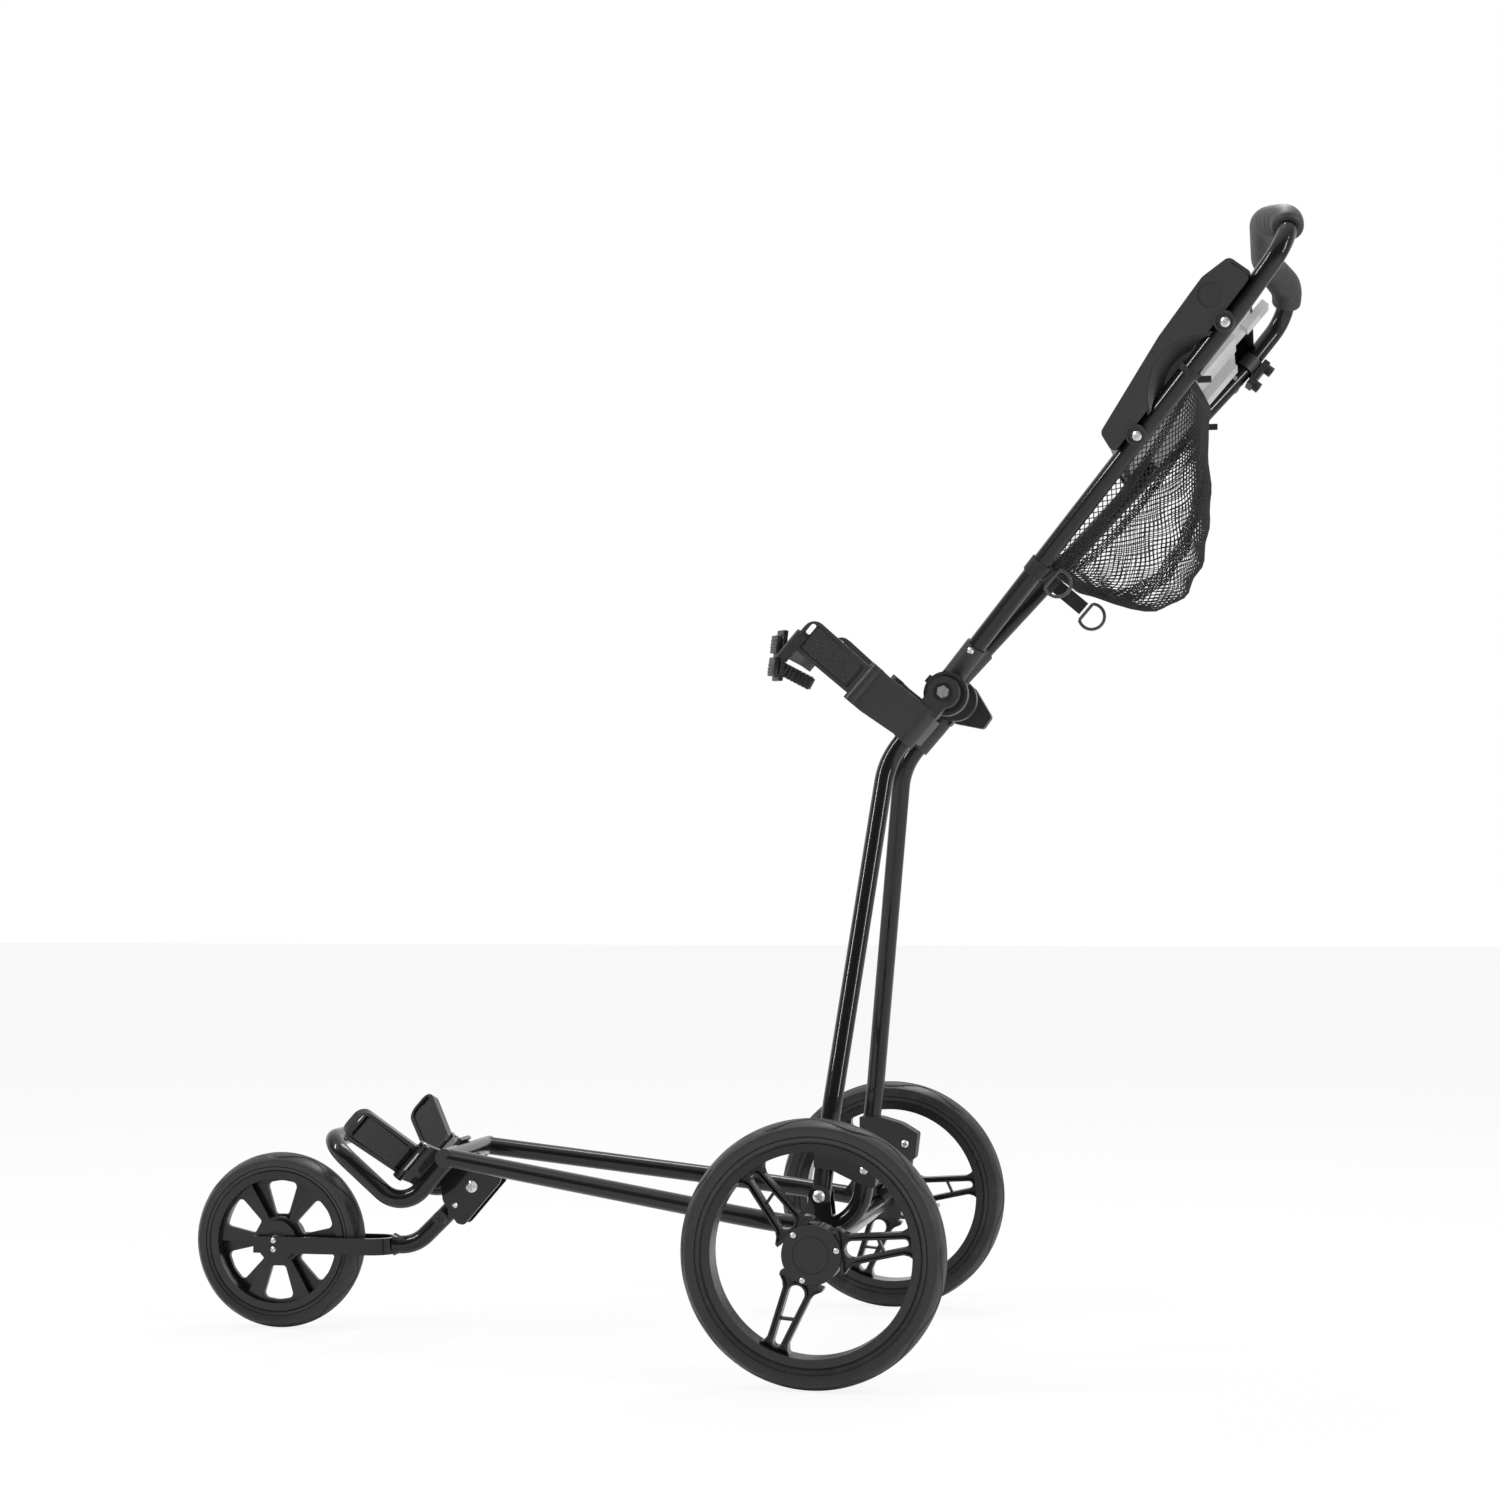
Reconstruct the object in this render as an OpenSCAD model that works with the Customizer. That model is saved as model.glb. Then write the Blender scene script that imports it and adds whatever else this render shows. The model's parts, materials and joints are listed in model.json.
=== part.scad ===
// Three-wheel golf push cart, unfolded, with no bag on it.
// Millimetres, +Z up, +X the way the cart rolls, +Y its left side, z = 0 the ground.
// The origin is on the ground, below the middle of the cart's length.

/* [Wheels] */
// Diameter of a rear wheel over its tyre
rear_wheel_d = 290; // [260:5:300]
// Width of a rear tyre
rear_tyre_w = 39; // [34:1:42]
// Radial height of a rear tyre's section
rear_tyre_h = 26; // [22:1:30]
// Distance between the centres of the two rear wheels
track = 624; // [600:4:680]
// Diameter of the front wheel over its tyre
front_wheel_d = 214; // [196:2:218]
// Width of the front tyre
front_tyre_w = 38; // [32:1:40]
// Radial height of the front tyre's section
front_tyre_h = 22; // [18:1:26]
// Distance from the rear axle to the front axle
wheelbase = 717; // [710:1:740]
// Thickness of a wheel's plastic rim band
rim_band = 9; // [7:0.5:11]
// Diameter of the wheel bolts where the bearings run
journal_d = 12; // [10:1:13]
// Outer diameter of a wheel bearing
bearing_d = 28; // [26:1:30]
// Width of a wheel bearing
bearing_w = 8; // [7:1:9]
// Diameter of the front axle where its bearings run
front_axle_d = 10; // [8:0.5:12]
// Turn of the rear wheels' spokes about the axle
spoke_phase = 52; // [0:1:119]

/* [Tubes] */
// Outer diameter of the frame and handle tubes
tube_d = 22; // [20:0.5:23]
// Wall of the frame and handle tubes
tube_wall = 1.6; // [1.2:0.1:2.2]
// Sideways distance from the middle to the tubes at the rear
rear_half = 172; // [164:1:176]
// Sideways distance from the middle to the lower tubes at the front crossbar
front_half = 84; // [80:1:90]
// Distance from the front crossbar forward to the front axle
front_reach = 237; // [230:1:246]
// Height of the front crossbar
cross_z = 219; // [216:1:224]
// How far the crossbar runs past each lower tube
cross_over = 11; // [8:1:14]
// Height of the lower tubes' axis at the rear axle, above the axle
tube_rise = 7.6; // [6:0.2:9]
// Bend radius of the lower tubes' rear upturn
upturn_r = 50; // [46:1:54]

/* [Mast] */
// Backward lean of the handle and the bag, from the vertical
lean = 40.9; // [38:0.5:43]
// Distance from the rear axle back to the handle hinge
hinge_back = 115; // [110:1:122]
// Height of the handle hinge
hinge_z = 766; // [750:2:780]
// Height of the mast's pivot above the rear axle
pivot_rise = 48; // [46:1:52]
// Distance of the mast's pivot in front of the rear axle
pivot_x = 14; // [12:0.5:16]
// Height at which the mast tubes start to converge
converge_z = 288; // [284:2:310]
// Sideways distance from the middle to the mast tubes in their sleeves
sleeve_half = 68; // [66:1:72]
// Diameter of the pivot bolts
pivot_bolt_d = 8; // [6:0.5:9]

/* [Bag cradles] */
// Sideways distance from the middle to the upper arms' hinge pins
upper_pin_half = 88; // [88:1:92]
// Distance of the upper arms' hinge pins in front of the mast tubes
upper_pin_w = 76; // [72:1:82]
// Length of an upper arm from its pin to its tip
upper_arm_len = 96; // [86:1:104]
// Angle at which the upper arms spread outward
upper_spread = 10; // [6:1:16]
// Sideways distance from the middle to the lower arms' hinge pins
lower_pin_half = 62; // [60:1:64]
// Length of a lower arm from its pin to its tip
lower_arm_len = 104; // [92:1:110]
// Angle at which the lower arms spread outward
lower_spread = 45; // [38:1:50]
// Height of an arm's frame along the bag
arm_h = 56; // [52:1:60]
// Sideways distance from the middle to each leg of the bag base loop
loop_half = 73; // [70:1:76]
// How far the bag base loop stands out in front of the crossbar
loop_reach = 127; // [118:1:132]
// Drop of the bag base loop below the crossbar, along the bag
loop_drop = 87; // [82:1:90]

/* [Handle] */
// Distance along the handle from its hinge to the cross grip
handle_len = 645; // [600:5:660]
// Sideways distance from the middle to the handle tubes at the grip
grip_half = 206; // [190:2:214]
// Sideways distance from the middle to the handle tubes at the hinge
hub_half = 16; // [15:0.5:18]
// Angle at which each handle tube spreads from the middle
handle_flare = 17.5; // [16.5:0.25:18]
// Height of the handle tubes above the hinge axis, square to the handle
handle_rise = 11; // [10:0.5:12]
// Height of the grip's arch above the handle tubes
grip_arch = 54; // [40:1:58]
// Outer diameter of the foam grip
grip_d = 38; // [34:0.5:40]
// Distance along the handle from its hinge to the console's lower bolts
console_low = 367; // [350:1:380]
// Distance along the handle between the console's lower and upper bolts
console_span = 153; // [145:1:160]
// Height of the console above the handle tubes
console_h = 41; // [38:1:46]

/* [Hidden] */
$fn = 48;

// Fits
fit = 0.05; // radial gap of a running fit
air = 0.3; // gap between curved faces of pieces that move
cut = 1; // how far a cutter runs past a face

// Derived places
tube_r = tube_d / 2;
axle_z = rear_wheel_d / 2;
wheel_y = track / 2;
rear_rim_r = rear_wheel_d / 2 - rear_tyre_h;
front_rim_r = front_wheel_d / 2 - front_tyre_h;
front_axle_z = front_wheel_d / 2;
cross_x = wheelbase - front_reach; // X of the front crossbar, from the rear axle
up = [-sin(lean), 0, cos(lean)];
hinge = [-hinge_back, 0, hinge_z];

// Vectors
function unit(v) = v / norm(v);
function mix(a, b, t) = a + (b - a) * t;
function mirrored(p) = [for (q = p) [q.x, -q.y, q.z]];
function reversed(p) = [for (i = [len(p) - 1:-1:0]) p[i]];

// Outline corners rounded by arcs of radius r
function slerp(s, e, a, t) = (s * sin((1 - t) * a) + e * sin(t * a)) / sin(a);
function corner(p, q, n, r, k) =
    let (a = unit(p - q), b = unit(n - q), h = acos(a * b) / 2, c = q + unit(a + b) * r / sin(h))
    [for (t = [0:k]) c + slerp(q + a * r / tan(h) - c, q + b * r / tan(h) - c, 180 - 2 * h, t / k)];
function rounded(p, r, k = 5) =
    let (m = len(p))
    [for (i = [0:m - 1]) each corner(p[(i + m - 1) % m], p[i], p[(i + 1) % m], is_list(r) ? r[i] : r, k)];

// Frames: the ground frame starts at the rear axle, the mast frame at the handle hinge with its Z
// up along the handle and its X forward, and the cross frame is the same at the front crossbar
module on_ground() { translate([-mid_x, 0, 0]) children(); }
module in_mast() { on_ground() translate(hinge) rotate([0, -lean, 0]) children(); }
module at_cross() { on_ground() translate([cross_x, 0, cross_z]) rotate([0, -lean, 0]) children(); }
module side(s) {
    if (s > 0) children();
    else mirror([0, 1, 0]) children();
}
module both() {
    children();
    mirror([0, 1, 0]) children();
}
// A side outline, X and Z, drawn out between two distances to the left
module slab(y0, y1) { translate([0, y1, 0]) rotate([90, 0, 0]) linear_extrude(height = y1 - y0)
    children(); }
// A round bar along Y
module bar(y0, y1, d) { translate([0, y0, 0]) rotate([-90, 0, 0]) cylinder(d = d, h = y1 - y0); }
module place(x, y, z, at) {
    multmatrix([[x.x, y.x, z.x, at.x], [x.y, y.y, z.y, at.y], [x.z, y.z, z.z, at.z], [0, 0, 0, 1]])
        children();
}
// Stands children on a point, with their Z along a direction and their X as near forward as it goes
module stand(at, z, x = [1, 0, 0]) {
    w = unit(z);
    u = unit(x - (x * w) * w);
    place(u, cross(w, u), w, at) children();
}

// Bent tubes: a path of corners p with a bend radius r at each inner corner
bend_thin = 0.02; // elbows are slimmer by this, so that they fuse cleanly with the straights
lap_len = 0.6; // straights run this far into their elbows
function along(p, i) = unit(p[i + 1] - p[i]);
function turn(p, i) = acos(max(-1, min(1, along(p, i - 1) * along(p, i))));
function set_back(p, r, i) = (i <= 0 || i >= len(p) - 1) ? 0 : r[i - 1] * tan(turn(p, i) / 2);
function lap(p, i) = (i <= 0 || i >= len(p) - 1) ? 0 : lap_len;
function bend_normal(p, i) = unit(along(p, i) - (along(p, i) * along(p, i - 1)) * along(p, i - 1));
function bend_centre(p, r, i) = p[i] - set_back(p, r, i) * along(p, i - 1) + r[i - 1] * bend_normal(p, i);
module tube_ring(d, wall, thin = 0) {
    difference() {
        circle(d = d - 2 * thin);
        if (wall > 0) circle(d = d - 2 * wall + 2 * thin);
    }
}
module straight(a, b, d, wall) {
    w = unit(b - a);
    s = abs(w.z) < 0.9 ? unit(cross([0, 0, 1], w)) : unit(cross([0, 1, 0], w));
    place(s, cross(w, s), w, a) linear_extrude(height = norm(b - a)) tube_ring(d, wall);
}
module elbow(p, r, i, d, wall, from = 0, to = 1) {
    u = along(p, i - 1);
    n = bend_normal(p, i);
    place(-n, u, cross(u, n), bend_centre(p, r, i)) rotate([0, 0, from * turn(p, i)])
        rotate_extrude(angle = (to - from) * turn(p, i))
        translate([r[i - 1], 0]) tube_ring(d, wall, bend_thin);
}
module bent_tube(p, r, d, wall) {
    for (i = [0:len(p) - 2])
        straight(p[i] + (set_back(p, r, i) - lap(p, i)) * along(p, i),
            p[i + 1] - (set_back(p, r, i + 1) - lap(p, i + 1)) * along(p, i), d, wall);
    if (len(p) > 2) for (i = [1:len(p) - 2]) elbow(p, r, i, d, wall);
}

// Fastener heads, standing on z = 0
module pan_head(d, h) {
    difference() {
        union() {
            cylinder(d = d, h = h * 0.55);
            translate([0, 0, h * 0.55]) cylinder(d1 = d, d2 = d * 0.6, h = h * 0.45);
        }
        translate([0, 0, h * 0.5]) for (a = [0, 90]) rotate([0, 0, a])
            translate([-d * 0.26, -d * 0.05, 0]) cube([d * 0.52, d * 0.1, h]);
    }
}
module hex_nut(across, h) { cylinder(d = across / cos(30), h = h, $fn = 6); }

// ---- Wheels ----
rim_floor = 4; // rim material below the tyre
rim_lip = 3.5; // width of each rim flange
rim_inset = 2.5; // how far the rim stays inside the tyre's width, each side
hub_r = 32.5;
hub_in = -22; // inner face of a rear hub, from the wheel's middle
hub_out = 10; // outer face of a rear hub
cap_t = 4;
cap_screw_r = 28.3;
cap_screw_d = 3;
cap_screw_turn = [-48, -169, -289];
spoke_depth = 17;
spoke_web = 3;
spoke_flange = 2.2;
spoke_root = 17; // half width of a double spoke at the hub
spoke_tip = 11; // half width at the rim band
slot_root = 9.4; // half width of the slot between the two beams, at the hub end
slot_tip = 4.6;
flare_w = 8; // how much a spoke widens at each end
flare_len = 13;
band_r = rear_rim_r - rim_band;
slot_from = hub_r + 13;
slot_to = band_r - 9;
function rise(t) = t > 0 ? flare_w * t * t : 0;
function taper(a, b, x) = mix(a, b, (x - hub_r) / (band_r - hub_r));
function flank(x) = taper(spoke_root, spoke_tip, x)
    + rise(1 - (x - hub_r) / flare_len) + rise(1 - (band_r - x) / flare_len);
spoke_x = [for (k = [0:14]) mix(hub_r, band_r, k / 14)];
module spoke_outline(inset) {
    polygon(concat([for (x = spoke_x) [x, flank(x) - inset]],
        [for (x = reversed(spoke_x)) [x, inset - flank(x)]]));
}
module slot_outline(grow) {
    a = slot_root + grow;
    b = slot_tip + grow;
    polygon([[slot_from, -a], [slot_to, -b], [slot_to, b], [slot_from, a]]);
    translate([slot_from, 0]) circle(r = a);
    translate([slot_to, 0]) circle(r = b);
}
module double_spoke() {
    difference() {
        translate([0, 0, -spoke_depth / 2]) linear_extrude(height = spoke_depth) difference() {
            union() {
                spoke_outline(0);
                translate([hub_r - 4, -flank(hub_r)]) square([4.01, 2 * flank(hub_r)]);
                translate([band_r - 0.01, -flank(band_r)]) square([2, 2 * flank(band_r)]);
            }
            slot_outline(0);
        }
        for (s = [0, 1]) mirror([0, 0, s]) translate([0, 0, spoke_web / 2])
            linear_extrude(height = spoke_depth) difference() {
                spoke_outline(spoke_flange);
                slot_outline(spoke_flange);
            }
    }
    // the slanted web across the slot
    translate([0, 0, -spoke_depth / 4]) linear_extrude(height = spoke_depth / 2)
        polygon([[71, 8.5], [74, 8.3], [79, -8], [76, -8.2]]);
}
module at_wheel(s) {
    on_ground() side(s) translate([0, wheel_y, axle_z]) rotate([-90, 0, 0]) children();
}
module rim_section(r, w) {
    difference() {
        translate([r - rim_band, -w / 2]) square([rim_band, w]);
        translate([r - rim_band + rim_floor, rim_lip - w / 2]) square([rim_band, w - 2 * rim_lip]);
    }
}
module tyre(d, w, h) {
    crown = w * 0.72;
    seat = w - 2 * rim_inset - 2 * rim_lip;
    color("#3a3a3c") rotate_extrude() difference() {
        union() {
            intersection() {
                translate([d / 2 - crown, 0]) circle(r = crown);
                translate([d / 2 - h, -w / 2]) square([h, w]);
            }
            translate([d / 2 - h - rim_band + rim_floor, -seat / 2]) square([rim_band, seat]);
        }
        for (s = [-1, 1]) {
            translate([d / 2 - 2.6, s * w * 0.16 - 1]) square([4, 2]);
            translate([d / 2 - h * 0.32, s * (w / 2 - 1.2) - 2]) square([2.4, 4]);
        }
    }
}
module bearing(d, bore, w) { rotate_extrude() translate([bore / 2, 0]) square([(d - bore) / 2, w]); }
bearing_low = hub_in + 0.5;
bearing_high = hub_out - 7.3 - bearing_w;
module rear_rim(s) {
    at_wheel(s) color("#4a4a4e") difference() {
        union() {
            rotate_extrude() rim_section(rear_rim_r, rear_tyre_w - 2 * rim_inset);
            translate([0, 0, hub_in]) cylinder(r = hub_r, h = hub_out - hub_in);
            for (k = [0:2]) rotate([0, 0, 120 * k - spoke_phase]) double_spoke();
        }
        translate([0, 0, hub_in - cut]) cylinder(d = journal_d + 6, h = hub_out - hub_in + 2 * cut);
        translate([0, 0, hub_in - cut]) cylinder(d = bearing_d, h = bearing_w + 0.5 + cut);
        translate([0, 0, bearing_high]) cylinder(d = bearing_d, h = hub_out - bearing_high + cut);
        for (a = cap_screw_turn) rotate([0, 0, a]) translate([cap_screw_r, 0, hub_out - 9])
            cylinder(d = cap_screw_d, h = 10);
    }
}
module bearings(s) {
    at_wheel(s) color("#b9bcc2") for (z = [bearing_low, bearing_high])
        translate([0, 0, z]) bearing(bearing_d, journal_d + 2 * fit, bearing_w);
}
module hub_cap(s) {
    at_wheel(s) color("#3f3f43") difference() {
        translate([0, 0, hub_out]) rotate_extrude() difference() {
            union() {
                square([hub_r - 1.5, cap_t]);
                square([hub_r, cap_t - 1.5]);
                translate([hub_r - 1.5, cap_t - 1.5]) circle(r = 1.5);
            }
            translate([19, cap_t - 0.6]) square([1.2, 1]);
        }
        for (a = cap_screw_turn) rotate([0, 0, a]) translate([cap_screw_r, 0, hub_out - cut])
            cylinder(d = cap_screw_d, h = cap_t + 2 * cut);
    }
}
module hub_cap_screws(s) {
    at_wheel(s) color("#d8dade") for (a = cap_screw_turn) rotate([0, 0, a])
        translate([cap_screw_r, 0, hub_out + cap_t]) {
            pan_head(6, 1.6);
            translate([0, 0, -cap_t - 8]) cylinder(d = cap_screw_d, h = cap_t + 8.01);
        }
}
flange_t = 3;
flange_z = hub_in - air;
stub_end = wheel_y + flange_z - flange_t; // outer end of an axle stub
plug_len = 45;
module wheel_bolts() {
    for (s = [-1, 1]) at_wheel(s) color("#c9ccd1") {
        translate([0, 0, flange_z - flange_t - plug_len])
            cylinder(d = tube_d - 2 * tube_wall - 2 * fit, h = plug_len + 0.01);
        translate([0, 0, flange_z - flange_t]) cylinder(d = 2 * journal_d, h = flange_t);
        translate([0, 0, flange_z - 0.01]) cylinder(d = journal_d, h = hub_out - 0.5 - flange_z);
        translate([0, 0, bearing_high + bearing_w + air]) hex_nut(1.5 * journal_d, 6);
    }
}

// ---- Front wheel ----
front_hub_r = 25;
front_hub_w = 36;
front_disc = 6; // thickness of the disc between hub and rim
front_step = 5; // how far each sector of the disc stands out, every second one the other way
front_bead = 0.5; // how far the ribs stand out from the sectors, and half of what the ring round the hub does
fork_gap = 23; // from the middle to the inside of a fork bar
module at_front() { on_ground() translate([wheelbase, 0, front_axle_z]) rotate([-90, 0, 0]) children(); }
front_disc_r = front_rim_r - rim_band + 1;
front_window = rounded([[31, -8.5], [front_rim_r - rim_band - 7, -20], [front_rim_r - rim_band - 3.5, 0],
    [front_rim_r - rim_band - 7, 20], [31, 8.5]], [4, 6, 30, 6, 4]);
// A sixth of the disc with its window
module front_sector() {
    difference() {
        intersection() {
            circle(r = front_disc_r);
            polygon([[0, 0], [front_disc_r * 2, -front_disc_r * 2 * tan(30)],
                [front_disc_r * 2, front_disc_r * 2 * tan(30)]]);
        }
        polygon(front_window);
    }
}
module front_rim() {
    depth = front_disc + 2 * front_step;
    at_front() color("#4a4a4e") difference() {
        union() {
            rotate_extrude() rim_section(front_rim_r, front_tyre_w - 2 * rim_inset);
            cylinder(r = front_hub_r, h = front_hub_w, center = true);
            cylinder(r = 29, h = depth + 4 * front_bead, center = true);
            for (k = [0:5]) rotate([0, 0, 60 * k + 30]) {
                translate([0, 0, (k % 2 == 0 ? -1 : 1) * front_step - front_disc / 2])
                    linear_extrude(height = front_disc) front_sector();
                rotate([0, 0, 30]) translate([front_hub_r - 1, -2, -depth / 2 - front_bead])
                    cube([front_disc_r - front_hub_r + 1, 4, depth + 2 * front_bead]);
            }
        }
        cylinder(d = front_axle_d + 5, h = front_hub_w + 2 * cut, center = true);
        for (s = [0, 1]) mirror([0, 0, s]) translate([0, 0, front_hub_w / 2 - bearing_w])
            cylinder(d = bearing_d - 2, h = bearing_w + cut);
    }
}
module front_bearings() {
    at_front() color("#b9bcc2") for (s = [0, 1]) mirror([0, 0, s])
        translate([0, 0, front_hub_w / 2 - bearing_w])
        bearing(bearing_d - 2, front_axle_d + 2 * fit, bearing_w);
}
fork_t = 5; // thickness of the flat fork bar
fork_h = 20;
fork_skin = 1.5; // metal left outside the ends of the axle
fork_z = front_axle_z - 3.5; // height of the fork bars' middle
fork_screw_d = 3;
module front_axle() {
    at_front() color("#c9ccd1") {
        cylinder(d = front_axle_d, h = 2 * (fork_gap + fork_t - fork_skin), center = true);
        for (s = [0, 1]) mirror([0, 0, s]) translate([0, 0, front_hub_w / 2 + air])
            cylinder(d = front_axle_d + 5, h = fork_gap - front_hub_w / 2 - air);
    }
}
// Places children on the two screws at the end of each fork bar, with their Z outward
module at_fork_screws() {
    on_ground() both() for (k = [-1, 1]) translate([wheelbase, fork_gap + fork_t, fork_z
        + k * 0.27 * fork_h])
        rotate([-90, 0, 0]) children();
}
module fork_screws() {
    color("#d8dade") at_fork_screws() {
        pan_head(6.5, 1.8);
        translate([0, 0, -fork_skin]) cylinder(d = fork_screw_d - 2 * fit, h = fork_skin + 0.01);
    }
}

// ---- Lower frame ----
tilt = (cross_z - axle_z - tube_rise) / cross_x; // rise of the lower tubes towards the front
bend_x = 90; // where the lower tubes stop spreading
upturn_x = 27; // corner of the rear upturn, behind the axle
upturn_top = 228;
function lower_z(x) = axle_z + tube_rise + tilt * x;
lower_path = [[cross_x, front_half, cross_z], [bend_x, rear_half, lower_z(bend_x)],
    [-upturn_x, rear_half, lower_z(-upturn_x)],
    [-upturn_x - tilt * (upturn_top - lower_z(-upturn_x)), rear_half, upturn_top]];
lower_bends = [300, upturn_r];
weld = fit; // air at a welded seam
module crossbar_cut() {
    translate([cross_x, 0, cross_z])
        bar(-cross_half - cap_lip - cut, cross_half + cap_lip + cut, tube_d + 2 * weld);
}
cap_lip = 3;
cross_half = front_half + cross_over - cap_lip;
clip_screw = [-37, 223]; // X and Z
clip_half = 15;
function clip_face(s) = s * rear_half + clip_half; // both clips carry their screw on the left face
module clip_bore(s) { translate([clip_screw.x, 0, clip_screw.y])
    bar(s * rear_half, clip_face(s) + cut, 4); }
module lower_tube(s) {
    on_ground() color("#1c1c1e") difference() {
        side(s) bent_tube(lower_path, lower_bends, tube_d, tube_wall);
        crossbar_cut();
        clip_bore(s);
    }
}
module crossbar() {
    on_ground() color("#1c1c1e")
        straight([cross_x, -cross_half, cross_z], [cross_x, cross_half, cross_z], tube_d, tube_wall);
}
module end_caps() {
    on_ground() both() color("#4c4c50") translate([cross_x, 0, cross_z]) {
        bar(cross_half - 14, cross_half + 0.01, tube_d - 2 * tube_wall - 2 * fit);
        bar(cross_half, cross_half + cap_lip, tube_d);
    }
}
module axle_tube() {
    on_ground() color("#1c1c1e") difference() {
        straight([0, -stub_end, axle_z], [0, stub_end, axle_z], tube_d, tube_wall);
        both() bent_tube(lower_path, lower_bends, tube_d + 2 * weld, 0);
    }
}
loop_bend = 35;
loop_half_path = [[0, loop_half, 0], [0, loop_half, -loop_drop], [loop_reach, loop_half, -loop_drop]];
loop_path = concat(loop_half_path, reversed(mirrored(loop_half_path)));
module base_loop() {
    color("#1c1c1e") difference() {
        at_cross() bent_tube(loop_path, [loop_bend, loop_bend, loop_bend, loop_bend], tube_d, tube_wall);
        on_ground() crossbar_cut();
    }
}

// ---- Mast pivots ----
pivot_z = axle_z + pivot_rise;
ear_in = tube_r + 0.8;
ear_t = 2.5;
ear_r = 12.5;
ear_base = lower_z(0) + 5;
ear_foot = [-2, 41]; // X of the ear's foot
ear_web = 14; // height of the saddle between the ears
function ear_flank(t) = [mix(pivot_x + ear_r, ear_foot[1], t * t), mix(pivot_z - 3, ear_base + 6, t)];
module ear_side() {
    difference() {
        union() {
            translate([pivot_x, pivot_z]) circle(r = ear_r);
            polygon(concat([[ear_foot[0], ear_base], [pivot_x - ear_r, pivot_z - 3]],
                [for (t = [0:0.125:1]) ear_flank(t)], [[ear_foot[1] + 1, ear_base]]));
        }
        translate([pivot_x, pivot_z]) circle(d = pivot_bolt_d + 0.4);
    }
}
module pivot_ears() {
    on_ground() both() color("#1c1c1e") difference() {
        union() {
            for (m = [0, 1]) translate([0, rear_half, 0]) mirror([0, m, 0])
                slab(ear_in, ear_in + ear_t) ear_side();
            slab(rear_half - ear_in - 0.01, rear_half + ear_in + 0.01) intersection() {
                ear_side();
                translate([ear_foot[0], ear_base]) square([ear_foot[1] - ear_foot[0], ear_web]);
            }
        }
        bent_tube(lower_path, lower_bends, tube_d + 2 * weld, 0);
    }
}
module ear_bolts() {
    on_ground() both() color("#d8dade") translate([pivot_x, rear_half, pivot_z]) {
        bar(-ear_in - ear_t - 6, ear_in + ear_t + 0.01, pivot_bolt_d);
        translate([0, ear_in + ear_t, 0]) rotate([-90, 0, 0]) pan_head(1.7 * pivot_bolt_d, 4);
        translate([0, -ear_in - ear_t, 0]) rotate([90, 0, 0]) hex_nut(1.6 * pivot_bolt_d, 5);
    }
}

// ---- Mast ----
mast_end = -28; // upper end of a mast tube, along the handle from the hinge
mast_knee = -103;
mast_bends = [120, 80];
knee = hinge + mast_knee * up + [0, sleeve_half, 0];
mast_slope = (pivot_x - knee.x) / (knee.z - pivot_z);
mast_dir = unit([-mast_slope, 0, 1]);
function mast_at(z) = [pivot_x - mast_slope * (z - pivot_z), rear_half, z];
mast_foot = 15; // how far a mast tube runs below its pivot
mast_path = [mast_at(pivot_z - mast_foot), mast_at(converge_z), knee, hinge + mast_end * up
    + [0, sleeve_half, 0]];
module mast_tube(s) {
    on_ground() side(s) color("#1c1c1e") difference() {
        bent_tube(mast_path, mast_bends, tube_d, tube_wall);
        translate([pivot_x, rear_half, pivot_z]) bar(-tube_r - cut, tube_r + cut, pivot_bolt_d + 2 * fit);
    }
}

// ---- Clips that hold the mast upright ----
clip_gap = tube_r + 0.35;
module clip_side() {
    polygon(rounded([[20, 256], [-6, 255.5], [-32, 248], [-53, 235.5], [-49, 203], [-40, 204], [-24, 211],
        [-1, 222], [20, 225]], [2, 30, 40, 4, 4, 3, 20, 20, 2]));
}
module mast_clip(s) {
    j = along(lower_path, 2);
    on_ground() color("#55555a") difference() {
        side(s) difference() {
            slab(rear_half - clip_half, rear_half + clip_half) clip_side();
            stand(mast_at(215), mast_dir) linear_extrude(height = 60) {
                circle(r = clip_gap);
                translate([0, -clip_gap]) square([40, 2 * clip_gap]);
            }
            straight(lower_path[3] - 40 * j, lower_path[3] + weld * j, tube_d + 2 * weld, 0);
        }
        clip_bore(s);
    }
}
module clip_screws() {
    on_ground() color("#d8dade") for (s = [-1, 1]) translate([clip_screw.x, clip_face(s), clip_screw.y])
        rotate([-90, 0, 0]) {
            pan_head(9, 2.6);
            translate([0, 0, -9]) cylinder(d = 4 - 2 * fit, h = 9.01);
        }
}

// ---- Front fork and its bracket ----
fork_pivot = [cross_x - 11, cross_z - 41]; // X and Z
wheel_room = 36; // from the front tyre back to the inside of the fork's bend
fork_out = fork_gap + fork_t;
fork_rear = wheelbase - front_wheel_d / 2 - wheel_room - fork_t; // X of the back of the fork's bend
fork_front = wheelbase + 26;
stem_knee = [fork_rear - 24, 0, fork_z];
stem_line = unit([fork_pivot.x, 0, fork_pivot.y] - stem_knee);
stem_top = [fork_pivot.x, 0, fork_pivot.y] + 18 * stem_line;
stem_path = [[fork_rear + 3, 0, fork_z + 1], stem_knee, stem_top];
stem_bend = 45;
plate_in = tube_r + 0.5;
plate_t = 3;
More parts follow.
